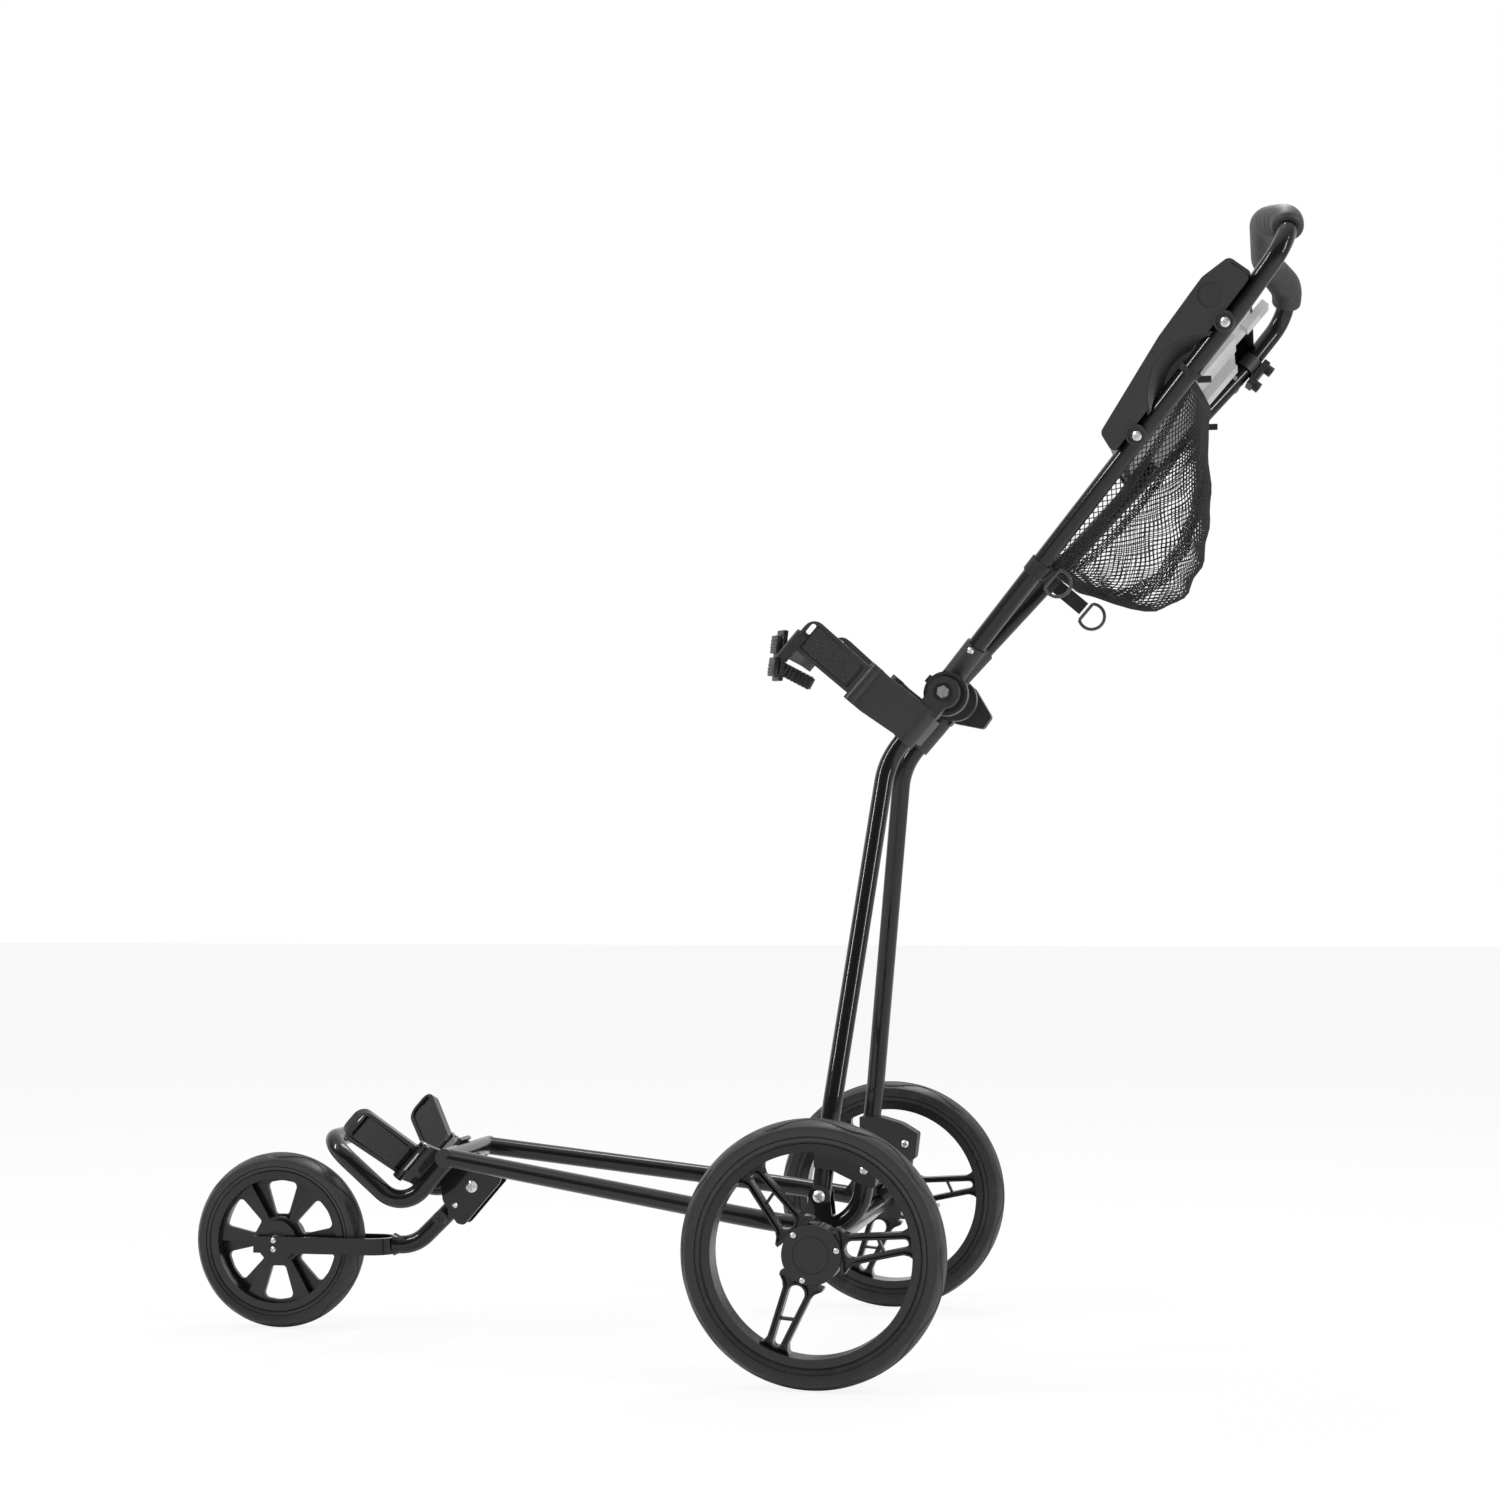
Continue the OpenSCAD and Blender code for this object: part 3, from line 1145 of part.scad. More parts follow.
// ---- Foot brake beside the right rear wheel ----
brake_from = 234; // distance of the housing from the middle
brake_to = 282;
brake_r = 21;
brake_pin = [-24, -16]; // X and height of the pedal's pin, from the axle
brake_pin_d = 6;
module brake_housing() {
    on_ground() mirror([0, 1, 0]) color("#3f3f43") translate([0, 0, axle_z]) difference() {
        union() {
            bar(brake_from, brake_to, 2 * brake_r);
            bar(brake_to - 12, brake_to, 2 * brake_r + 12);
            for (y = [brake_from, brake_to - 20]) slab(y, y + 8)
                polygon(rounded([[0, brake_r - 4], [-20, 4], [brake_pin.x - 8, brake_pin.y + 2],
                    [brake_pin.x - 4, brake_pin.y - 8], [brake_pin.x + 8, brake_pin.y - 7],
                        [4, 4 - brake_r]],
                    [2, 6, 5, 5, 5, 2]));
        }
        bar(brake_from - cut, brake_to + cut, tube_d + 2 * weld);
        translate([brake_pin.x, 0, brake_pin.y]) bar(brake_from - cut, brake_to, brake_pin_d);
    }
}
module brake_pedal() {
    on_ground() mirror([0, 1, 0]) color("#8a8c90")
        translate([brake_pin.x, 0, axle_z + brake_pin.y]) {
            bar(brake_from + 8 + air, brake_to - 20 - air, 11);
            slab(brake_from + 8 + air, brake_to - 20 - air)
                polygon(rounded([[-4, -4], [-38, 6], [-40, 12], [-34, 14], [0, 5.5]], [1, 3, 2, 2, 1]));
            translate([-42, brake_from + 2, 5]) rotate([0, 14, 0]) cube([26, 42, 4]);
            bar(brake_from - 1, brake_to - 12.5, brake_pin_d - 2 * fit);
        }
}

at_wheel(1) tyre(rear_wheel_d, rear_tyre_w, rear_tyre_h);  // rear_tyre_left
rear_rim(1);  // rear_rim_left
bearings(1);  // bearings_left
hub_cap(1);  // hub_cap_left
hub_cap_screws(1);  // hub_cap_screws_left
at_wheel(-1) tyre(rear_wheel_d, rear_tyre_w, rear_tyre_h);  // rear_tyre_right
rear_rim(-1);  // rear_rim_right
bearings(-1);  // bearings_right
hub_cap(-1);  // hub_cap_right
hub_cap_screws(-1);  // hub_cap_screws_right
wheel_bolts();
at_front() tyre(front_wheel_d, front_tyre_w, front_tyre_h);  // front_tyre
front_rim();
front_bearings();
front_axle();
lower_tube(1);  // lower_tube_left
lower_tube(-1);  // lower_tube_right
axle_tube();
crossbar();
end_caps();
base_loop();
pivot_ears();
ear_bolts();
mast_clip(1);  // mast_clip_left
mast_clip(-1);  // mast_clip_right
clip_screws();
fork_bracket();
fork_bolt();
front_fork();
fork_screws();
fold_button();
cradle_base();
cradle_pins();
lower_arm(1);  // lower_arm_left
lower_arm(-1);  // lower_arm_right
brake_housing();
brake_pedal();
mast_tube(1);  // mast_tube_left
mast_tube(-1);  // mast_tube_right
upper_bracket();
hinge_bolt();
hinge_lever();
upper_pins();
upper_arm(1);  // upper_arm_left
upper_arm(-1);  // upper_arm_right
bag_strap();
strap_buckle();
handle_hub();
hub_screws();
handle_tube();
grip();
console_tray();
console_base();
console_lid();
console_bolts();
accessory_clamp();
net_bag();
net_straps();
d_rings();
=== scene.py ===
"""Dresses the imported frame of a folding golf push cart.

Finishes, tyres, net bag, webbing, grip and small fittings.
"""

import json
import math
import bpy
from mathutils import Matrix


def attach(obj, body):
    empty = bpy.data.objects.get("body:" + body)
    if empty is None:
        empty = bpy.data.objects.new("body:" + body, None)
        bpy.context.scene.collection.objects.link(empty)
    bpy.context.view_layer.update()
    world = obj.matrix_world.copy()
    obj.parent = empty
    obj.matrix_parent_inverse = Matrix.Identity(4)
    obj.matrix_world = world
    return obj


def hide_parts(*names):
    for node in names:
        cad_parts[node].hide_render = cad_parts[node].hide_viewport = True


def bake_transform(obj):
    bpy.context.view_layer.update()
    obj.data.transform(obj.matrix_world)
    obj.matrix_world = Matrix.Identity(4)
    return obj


bl_info = {
    "name": "Golf push cart",
    "version": (1, 0, 0),
    "blender": (4, 5, 0),
    "location": "3D View > Sidebar > Push cart",
    "description": "Finishes and soft pieces of a folding golf push cart",
    "category": "Object",
}

from functools import lru_cache

import bpy
from mathutils import Matrix, Vector

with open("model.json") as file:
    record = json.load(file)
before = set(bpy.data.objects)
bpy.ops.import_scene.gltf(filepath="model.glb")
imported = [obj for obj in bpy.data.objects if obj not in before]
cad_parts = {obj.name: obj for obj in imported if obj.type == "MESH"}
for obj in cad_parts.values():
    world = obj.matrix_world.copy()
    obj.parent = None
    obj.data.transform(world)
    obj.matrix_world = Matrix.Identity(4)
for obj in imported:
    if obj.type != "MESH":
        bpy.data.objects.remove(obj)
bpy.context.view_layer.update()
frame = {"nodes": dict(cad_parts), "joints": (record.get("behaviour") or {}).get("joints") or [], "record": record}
NODES = frame["nodes"]
PIVOT = {j["name"]: Vector(j["pos_m"]) for j in frame["joints"] if "pos_m" in j}

MM = 0.001
LEAN = math.radians(40.9)
FLARE = math.radians(17.5)
FULL_TURN = 2 * math.pi
MAST_FORWARD = Vector((math.cos(LEAN), 0, math.sin(LEAN)))
MAST_UP = Vector((-math.sin(LEAN), 0, math.cos(LEAN)))

REAR_AXLE = Vector((PIVOT["rear_wheel_left_spin"].x, 0, 0))
# The handle tube's corners (forward, left, up, in mm in the mast's frame) and bend radii
HANDLE_HALF = [(11, 24.2, 26), (11, 185.3, 537), (18, 208, 650), (66, 100, 645)]
HANDLE_CORNERS = [Vector(p) for p in HANDLE_HALF] + [
    Vector((p[0], -p[1], p[2])) for p in reversed(HANDLE_HALF)
]
HANDLE_BENDS = [200, 45, 120, 120, 45, 200]
GRIP_FROM = 0.62  # share of a side bend that the grip leaves bare
TUBE_R = 11
HANDLE_RISE = 11
CROSSBAR = Vector((480, 0, 219))  # the front crossbar, forward of the rear axle and above the ground


def basis(origin, x, y, z):
    """The matrix of a frame in millimetres, from its origin in metres and its three axes."""
    turn = Matrix((x, y, z)).transposed().to_4x4()
    return Matrix.Translation(origin) @ turn @ Matrix.Scale(MM, 4)


LEFT = Vector((0, 1, 0))
MAST = basis(PIVOT["handle_fold"], MAST_FORWARD, LEFT, MAST_UP)
GROUND = basis(REAR_AXLE, Vector((1, 0, 0)), LEFT, Vector((0, 0, 1)))
CROSS = basis(GROUND @ CROSSBAR, MAST_FORWARD, LEFT, MAST_UP)


def wheel_frame(joint, side=1):
    """A wheel's frame: X forward, Z out along the axle."""
    out = Vector((0, side, 0))
    return basis(PIVOT[joint], Vector((1, 0, 0)), out.cross(Vector((1, 0, 0))), out)


# ---- Modelling helpers ----


def deselect():
    if bpy.context.object and bpy.context.object.mode != "OBJECT":
        bpy.ops.object.mode_set(mode="OBJECT")
    bpy.ops.object.select_all(action="DESELECT")


def activate(piece):
    deselect()
    piece.select_set(True)
    bpy.context.view_layer.objects.active = piece


def primitive(kind, name, **sizes):
    deselect()
    getattr(bpy.ops.mesh, f"primitive_{kind}_add")(**sizes)
    piece = bpy.context.object
    piece.name = piece.data.name = name
    return piece


def close_edit():
    bpy.ops.object.mode_set(mode="OBJECT")


def outward(piece, merge=0.001):
    """Merges doubled points and turns every face outwards."""
    activate(piece)
    bpy.ops.object.mode_set(mode="EDIT")
    bpy.ops.mesh.select_all(action="SELECT")
    bpy.ops.mesh.remove_doubles(threshold=merge)
    bpy.ops.mesh.normals_make_consistent(inside=False)
    close_edit()
    return piece


def modify(piece, kind, **settings):
    """Adds a modifier, sets it and applies it."""
    activate(piece)
    bpy.ops.object.modifier_add(type=kind)
    modifier = piece.modifiers[-1]
    for key, value in settings.items():
        setattr(modifier, key, value)
    bpy.ops.object.modifier_apply(modifier=modifier.name)
    return piece


def smooth(piece, degrees=35):
    activate(piece)
    bpy.ops.object.shade_smooth_by_angle(angle=math.radians(degrees))
    return piece


def settle(piece, matrix):
    """Puts a piece modelled in a local frame into its place, with the place in its mesh."""
    activate(piece)
    piece.matrix_world = matrix @ piece.matrix_world
    bpy.ops.object.transform_apply(location=True, rotation=True, scale=True)
    return outward(piece, 1e-6) if matrix.determinant() < 0 else piece


def joined(pieces, name):
    deselect()
    for piece in pieces:
        piece.select_set(True)
    bpy.context.view_layer.objects.active = pieces[0]
    bpy.ops.object.join()
    pieces[0].name = pieces[0].data.name = name
    return pieces[0]


def fit(piece, body, slot, material, *replaced):
    """Gives a finished piece its material and its body, and hides the solids that it stands for."""
    piece.data.materials.clear()
    piece.data.materials.append(material)
    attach(piece, body)
    if replaced:
        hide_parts(*replaced)
    return piece


def rod(name, start, end, radius, sides=24):
    start, end = Vector(start), Vector(end)
    piece = primitive("cylinder", name, vertices=sides, radius=radius, depth=(end - start).length)
    turn = (end - start).to_track_quat("Z", "Y").to_matrix().to_4x4()
    return settle(piece, Matrix.Translation((start + end) / 2) @ turn)


def block(name, low, high, bevel=0.6, segments=2):
    low, high = Vector(low), Vector(high)
    piece = primitive("cube", name, size=1)
    size = high - low
    settle(piece, Matrix.Translation((low + high) / 2) @ Matrix.Diagonal((*size, 1)))
    return modify(piece, "BEVEL", width=bevel, segments=segments, limit_method="NONE") if bevel else piece


def sheet_of(name, across, along, place):
    """A grid whose points place(a, b) gives, with a and b from 0 to 1, and its UV map in the same numbers."""
    piece = primitive("grid", name, x_subdivisions=across, y_subdivisions=along, size=1, calc_uvs=True)
    for vertex in piece.data.vertices:
        vertex.co = place(vertex.co.x + 0.5, vertex.co.y + 0.5)
    return piece


def arc_line(corners, radii, step=4.0):
    """A polyline through rounded corners."""
    line = [Vector(corners[0])]
    for before, corner, after, radius in zip(corners, corners[1:], corners[2:], radii):
        a, b = (corner - before).normalized(), (after - corner).normalized()
        turn = a.angle(b)
        back = radius * math.tan(turn / 2)
        centre = corner - back * a + radius * (b - a * a.dot(b)).normalized()
        axis = a.cross(b).normalized()
        count = max(2, math.ceil(radius * turn / step))
        start = corner - back * a - centre
        line += [centre + Matrix.Rotation(turn * k / count, 3, axis) @ start for k in range(count + 1)]
    return line + [Vector(corners[-1])]


def lengths(line):
    along = [0.0]
    for p, q in zip(line, line[1:]):
        along.append(along[-1] + (q - p).length)
    return along


def point_on(line, along, distance):
    """The point and the direction at a distance along a line."""
    for k in range(1, len(line)):
        if along[k] >= distance or k == len(line) - 1:
            span = line[k] - line[k - 1]
            share = (distance - along[k - 1]) / max(along[k] - along[k - 1], 1e-9)
            return line[k - 1] + span * share, span.normalized()


def swept(name, line, start, end, rings, sides, radius, up=Vector((1, 0, 0))):
    """A closed skin round a line, whose radius(share, angle) may change along and around it."""
    along = lengths(line)
    frames = []
    for k in range(rings + 1):
        middle, ahead = point_on(line, along, start + (end - start) * k / rings)
        across = ahead.cross(up).normalized()
        frames.append((middle, across, across.cross(ahead)))

    def place(a, b):
        middle, across, above = frames[round(b * rings)]
        angle = FULL_TURN * a
        reach = radius(b, angle)
        return middle + reach * (math.cos(angle) * across + math.sin(angle) * above)

    piece = sheet_of(name, sides, rings, place)
    activate(piece)
    bpy.ops.object.mode_set(mode="EDIT")
    bpy.ops.mesh.select_all(action="SELECT")
    bpy.ops.mesh.remove_doubles(threshold=0.01)
    bpy.ops.mesh.select_all(action="DESELECT")
    bpy.ops.mesh.select_non_manifold()
    bpy.ops.mesh.edge_face_add()
    bpy.ops.mesh.select_all(action="SELECT")
    bpy.ops.mesh.normals_make_consistent(inside=False)
    close_edit()
    return piece


def band(name, line, sideways, width, thickness, across=6):
    """A flat strap along a line, with sideways(k) the direction across it; its UV map is in metres."""
    along = lengths(line)
    last = len(line) - 1

    def place(a, b):
        k = round(b * last)
        return line[k] + sideways(k) * (a - 0.5) * width

    piece = sheet_of(name, across, last, place)
    for loop in piece.data.uv_layers.active.data:
        loop.uv = (loop.uv.x * width * MM, along[round(loop.uv.y * last)] * MM)
    return modify(piece, "SOLIDIFY", thickness=thickness, offset=0)


# ---- Finishes ----


class Value:
    """A number output of a node, with Python's operators."""

    def __init__(self, finish, socket):
        self.finish, self.socket = finish, socket

    def _math(self, operation, *terms):
        return self.finish.node("Math", {"operation": operation}, *terms)

    def __add__(self, other):
        return self._math("ADD", self, other)

    __radd__ = __add__

    def __sub__(self, other):
        return self._math("SUBTRACT", self, other)

    def __rsub__(self, other):
        return self._math("SUBTRACT", other, self)

    def __mul__(self, other):
        return self._math("MULTIPLY", self, other)

    __rmul__ = __mul__

    def __truediv__(self, other):
        return self._math("DIVIDE", self, other)

    def __pow__(self, other):
        return self._math("POWER", self, other)

    def __gt__(self, other):
        return self._math("GREATER_THAN", self, other)

    def sin(self):
        return self._math("SINE", self)

    def abs(self):
        return self._math("ABSOLUTE", self)

    def steps(self, low, high):
        """0 below low, 1 above high, and smooth between them."""
        return self.finish.node("MapRange", {"interpolation_type": "SMOOTHSTEP"}, self, low, high, 0.0, 1.0)


class Finish:
    """A material under construction."""

    def __init__(self, name, colour, roughness, **fixed):
        self.material = bpy.data.materials.new(name)
        self.material.use_nodes = True
        self.tree = self.material.node_tree
        self.shader = self.tree.nodes["Principled BSDF"]
        self.set("Base Color", (*colour, 1.0))
        self.set("Roughness", roughness)
        for key, value in fixed.items():
            self.set(key.replace("_", " "), value)

    def set(self, socket, value):
        self.shader.inputs[socket].default_value = value

    def node(self, kind, settings, *terms, out=0, **named):
        made = self.tree.nodes.new("ShaderNode" + kind)
        for key, value in settings.items():
            setattr(made, key, value)
        pairs = list(zip(made.inputs, terms)) + [(made.inputs[k], v) for k, v in named.items()]
        for socket, term in pairs:
            if isinstance(term, Value):
                self.tree.links.new(term.socket, socket)
            elif term is not None:
                socket.default_value = term
        return Value(self, made.outputs[out])

    def place(self, output="Object"):
        return self.node("TexCoord", {}, out=output)

    def split(self, vector):
        """The X, Y and Z of a vector."""
        made = self.node("SeparateXYZ", {}, vector)
        return [Value(self, s) for s in made.socket.node.outputs]

    def noise(self, scale, detail=2.0, where=None):
        return self.node("TexNoise", {}, where or self.place(), Scale=scale, Detail=detail)

    def shade(self, factor, dark, pale):
        """A colour between two, by a factor."""
        made = self.node("Mix", {"data_type": "RGBA"}, out=2)
        inputs = made.socket.node.inputs
        self.tree.links.new(factor.socket, inputs[0])
        inputs[6].default_value, inputs[7].default_value = (*dark, 1.0), (*pale, 1.0)
        self.feed("Base Color", made)
        return made

    def feed(self, socket, value):
        self.tree.links.new(value.socket, self.shader.inputs[socket])

    def bump(self, height, depth):
        """Relief of a height from 0 to 1, depth metres deep."""
        self.feed("Normal", self.node("Bump", {}, Height=height, Distance=depth, Strength=1.0))
        return self


def grey(level, tint=1.0):
    return (level, level, level * tint)


def gloss_paint():
    f = Finish(
        "gloss_black_paint", grey(0.006, 1.1), 0.3,
        Coat_Weight=0.55, Coat_Roughness=0.03, Specular_IOR_Level=0.15,
    )
    haze = f.noise(9.0, 3.0)
    f.feed("Roughness", haze * 0.12 + 0.24)
    dust = f.noise(420.0, 1.0).steps(0.70, 0.78) * f.noise(14.0).steps(0.45, 0.65)
    f.shade(dust, grey(0.006, 1.1), grey(0.03))
    return f.bump(f.noise(160.0, 1.0), 0.00003).material


def moulded(name, level, roughness, grain=900.0, depth=0.00005, tint=1.04):
    """Satin moulded plastic with a fine grain."""
    f = Finish(name, grey(level, tint), roughness)
    cloud = f.noise(16.0, 3.0)
    fine = f.noise(grain, 2.0)
    f.shade(cloud * 0.6 + fine * 0.4, grey(level * 0.7, tint), grey(level * 1.35, tint))
    f.feed("Roughness", cloud * 0.14 + (roughness - 0.07))
    return f.bump(fine, depth).material


def tyre_rubber():
    f = Finish("tyre_rubber", grey(0.02), 0.5)
    cloud, fine = f.noise(22.0, 4.0), f.noise(1100.0, 2.0)
    scuff = f.noise(60.0, 5.0).steps(0.55, 0.8)
    f.shade(cloud * 0.5 + scuff * 0.5, grey(0.012), grey(0.036, 0.97))
    f.feed("Roughness", cloud * 0.2 + 0.3 + scuff * 0.12)
    return f.bump(fine * 0.6 + scuff * 0.4, 0.00006).material


def zinc():
    f = Finish("zinc_plate", (0.72, 0.74, 0.77), 0.3, Metallic=1.0)
    cloud = f.noise(300.0, 3.0)
    f.shade(cloud, (0.55, 0.58, 0.62), (0.86, 0.87, 0.86))
    f.feed("Roughness", cloud * 0.25 + 0.2)
    return f.bump(f.noise(1500.0, 2.0), 0.00002).material


def webbing(name, level, rib=1.7, warp=0.9):
    """Woven webbing: ribs across the strap and fine threads along it, from the UV map in metres."""
    f = Finish(name, grey(level), 0.85, Sheen_Weight=0.15)
    u, v, _ = f.split(f.place("UV"))
    ribs = (v * (FULL_TURN / (rib * MM))).sin() * 0.5 + 0.5
    threads = (u * (FULL_TURN / (warp * MM))).sin() * 0.5 + 0.5
    weave = ribs * 0.65 + threads * 0.35
    fuzz = f.noise(700.0, 3.0)
    f.shade(weave * 0.75 + fuzz * 0.25, grey(level * 0.45), grey(level * 1.7))
    return f.bump(weave + fuzz * 0.2, 0.0004).material


def net_yarn():
    f = Finish("net_yarn", grey(0.013), 0.75, Sheen_Weight=0.1)
    twist = f.noise(1300.0, 3.0)
    f.shade(twist, grey(0.007), grey(0.03))
    return f.bump(twist, 0.0002).material


def foam():
    f = Finish("foam_rubber", grey(0.03), 0.62)
    cells = f.node("TexVoronoi", {"feature": "SMOOTH_F1"}, f.place(), Scale=650.0)
    cloud = f.noise(30.0, 3.0)
    f.shade(cloud * 0.7 + cells * 0.3, grey(0.016), grey(0.045))
    f.feed("Roughness", cloud * 0.15 + 0.5)
    return f.bump(cells, 0.00015).material


PAINT = {}


def make_finishes():
    size = bpy.context.scene.cart_finish
    PAINT.update(
        tube=gloss_paint(),
        tyre=tyre_rubber(),
        rim=moulded("rim_nylon", size.rim_level, 0.26, 1400.0, 0.00002),
        plastic=moulded("moulded_black", size.plastic_level, 0.46),
        cap=moulded("hub_cap_nylon", size.rim_level * 1.6, 0.5, 1800.0, 0.00003),
        gloss=moulded("gloss_nylon", size.rim_level * 0.8, 0.2, 1400.0, 0.00002),
        grey_plastic=moulded("pale_grey_plastic", 0.5, 0.4, 1200.0, 0.00003, 1.0),
        steel=zinc(),
        webbing=webbing("black_webbing", 0.012),
        pad=webbing("ribbed_pad", 0.022, 2.6, 1.1),
        net=net_yarn(),
        foam=foam(),
        ring=moulded("ring_nylon", 0.055, 0.3, 1800.0, 0.00002),
    )


def dress(material, *names):
    """Gives carried-over CAD nodes a material."""
    for name in names:
        data = NODES[name].data
        if not data.materials:
            data.materials.append(material)
        for slot in NODES[name].material_slots:
            slot.material = material


# ---- Settings ----


class CartFinish(bpy.types.PropertyGroup):
    rim_level: bpy.props.FloatProperty(
        name="Rim grey", description="Brightness of the rims' plastic", default=0.009, min=0.005, max=0.5
    )
    plastic_level: bpy.props.FloatProperty(
        name="Plastic grey", description="Brightness of the moulded fittings", default=0.020, min=0.005, max=0.5
    )


class CartSizes(bpy.types.PropertyGroup):
    tread_waves: bpy.props.IntProperty(
        name="Tread waves", description="Waves of the groove round each shoulder of a tyre", default=10, min=4, max=24
    )
    tread_depth: bpy.props.FloatProperty(
        name="Tread depth", description="Depth of the grooves, in millimetres", default=1.6, min=0.5, max=3.0
    )
    net_cell: bpy.props.FloatProperty(
        name="Net cell", description="Diagonal of a net opening, in millimetres", default=8.0, min=6.0, max=14.0
    )
    net_yarn: bpy.props.FloatProperty(
        name="Net yarn", description="Thickness of the net's yarn, in millimetres", default=1.8, min=0.6, max=2.0
    )
    webbing_width: bpy.props.FloatProperty(
        name="Webbing width", description="Width of the bag strap, in millimetres", default=38.0, min=20.0, max=50.0
    )


# ---- Pieces ----


def tyre(name, joint, side, outer, width, height, band, waves, depth):
    """A tyre turned from its section, with wavy grooves pressed into its shoulders."""
    crown, half, turns = width * 0.72, width / 2, 72 * 8
    foot = outer - height
    edge = outer - crown + math.sqrt(crown**2 - half**2)
    wall = edge - foot
    steps = ((0.0, 4.2), (0.10, 3.6), (0.13, 2.0), (0.34, 1.1), (0.37, 2.2), (0.41, 2.2), (0.44, 0.8), (0.72, 0.0))
    section = [(foot + share * wall, inset - half) for share, inset in steps] + [(edge, -half)]
    arc = 56
    top = math.asin(half / crown)
    for k in range(1, arc):
        a = -top + 2 * top * k / arc
        section.append((outer - crown + crown * math.cos(a), crown * math.sin(a)))
    section += [(r, -z) for r, z in reversed(section[: len(steps) + 1])]
    section += [(foot - band + 4, half - 5), (foot - band + 4, 5 - half)]
    piece = primitive("circle", name, vertices=len(section), radius=1)
    for vertex, (r, z) in zip(piece.data.vertices, section):
        vertex.co = (r, 0, z)
    activate(piece)
    bpy.ops.object.mode_set(mode="EDIT")
    bpy.ops.mesh.select_all(action="SELECT")
    bpy.ops.mesh.spin(steps=turns, angle=FULL_TURN, center=(0, 0, 0), axis=(0, 0, 1))
    close_edit()
    outward(piece, 0.01)
    grooves = piece.vertex_groups.new(name="grooves")
    for vertex in piece.data.vertices:
        x, y, z = vertex.co
        reach = math.hypot(x, y)
        if reach < edge - 4:
            continue
        angle = math.atan2(y, x) + (math.pi / waves if z < 0 else 0)
        sway = half * (0.60 + 0.26 * math.cos(waves * angle))
        off = min(abs(abs(z) - sway) / 1.7, abs(abs(z) - half * 0.16) / 1.1)
        if off < 1:
            grooves.add([vertex.index], 1 - off**2, "REPLACE")
    modify(piece, "DISPLACE", direction="NORMAL", mid_level=0, strength=-depth, vertex_group="grooves")
    piece.vertex_groups.clear()
    smooth(piece, 40)
    return settle(piece, wheel_frame(joint, side))


class CART_OT_tyres(bpy.types.Operator):
    """Turns the three tyres"""

    bl_idname = "cart.tyres"
    bl_label = "Tyres"

    def execute(self, context):
        size = context.scene.cart_sizes
        for side, word in ((1, "left"), (-1, "right")):
            body = f"rear_wheel_{word}"
            piece = tyre(
                f"treaded_tyre_{word}", f"{body}_spin", side, 145, 39, 26, 9, size.tread_waves, size.tread_depth
            )
            fit(piece, body, "tyre", PAINT["tyre"], f"rear_tyre_{word}")
        piece = tyre(
            "treaded_tyre_front", "front_wheel_spin", 1, 107, 38, 22, 9, size.tread_waves - 2, size.tread_depth
        )
        fit(piece, "front_wheel", "tyre", PAINT["tyre"], "front_tyre")
        return {"FINISHED"}


NET_FROM, NET_TO = 192.0, 452.0
NET_SAG = [(190, 16), (200, 60), (225, 117), (264, 137), (314, 125), (374, 85), (416, 43), (453, 14)]


def sag_at(u):
    for (u0, s0), (u1, s1) in zip(NET_SAG, NET_SAG[1:]):
        if u <= u1:
            t = (u - u0) / (u1 - u0)
            return s0 + (s1 - s0) * t
    return NET_SAG[-1][1]


SECTION_POINTS = 80


@lru_cache(maxsize=None)
def net_section(b):
    """The net's section across the handle at b: its points from the right tube to the left one, and their lengths."""
    u = NET_FROM + (NET_TO - NET_FROM) * b
    soft = sum(sag_at(min(max(u + d, NET_FROM), NET_TO)) for d in (-9, 0, 9)) / 3
    half = 16 + math.tan(FLARE) * u - (TUBE_R + 0.6) / math.cos(FLARE)
    points = []
    for k in range(-SECTION_POINTS, SECTION_POINTS + 1):
        share = k / SECTION_POINTS
        points.append(Vector((HANDLE_RISE - (soft + 9) * (1 - abs(share) ** 1.9), half * share, u)))
    return points, lengths(points)


def net_at(a, b):
    """A point of the net bag: a goes from the right tube to the left one, b up the handle."""
    points, along = net_section(round(b, 6))
    point, _ = point_on(points, along, a * along[-1])
    fold = 1.8 * math.sin(point.z * 0.16 + 5 * a) * math.sin(math.pi * a) * math.sin(math.pi * b)
    return point - Vector((fold, 0, 0))


HEM_CELL = 3.0


def dense_net(name, line, sideways, width):
    """A hem of doubled net along a line."""
    last = len(line) - 1

    def place(a, b):
        k = round(b * last)
        return line[k] + sideways(k) * (a - 0.5) * width

    piece = sheet_of(name, max(2, round(width / HEM_CELL)), last, place)
    return modify(piece, "WIREFRAME", thickness=2.0, use_even_offset=False, use_boundary=True, use_replace=True)


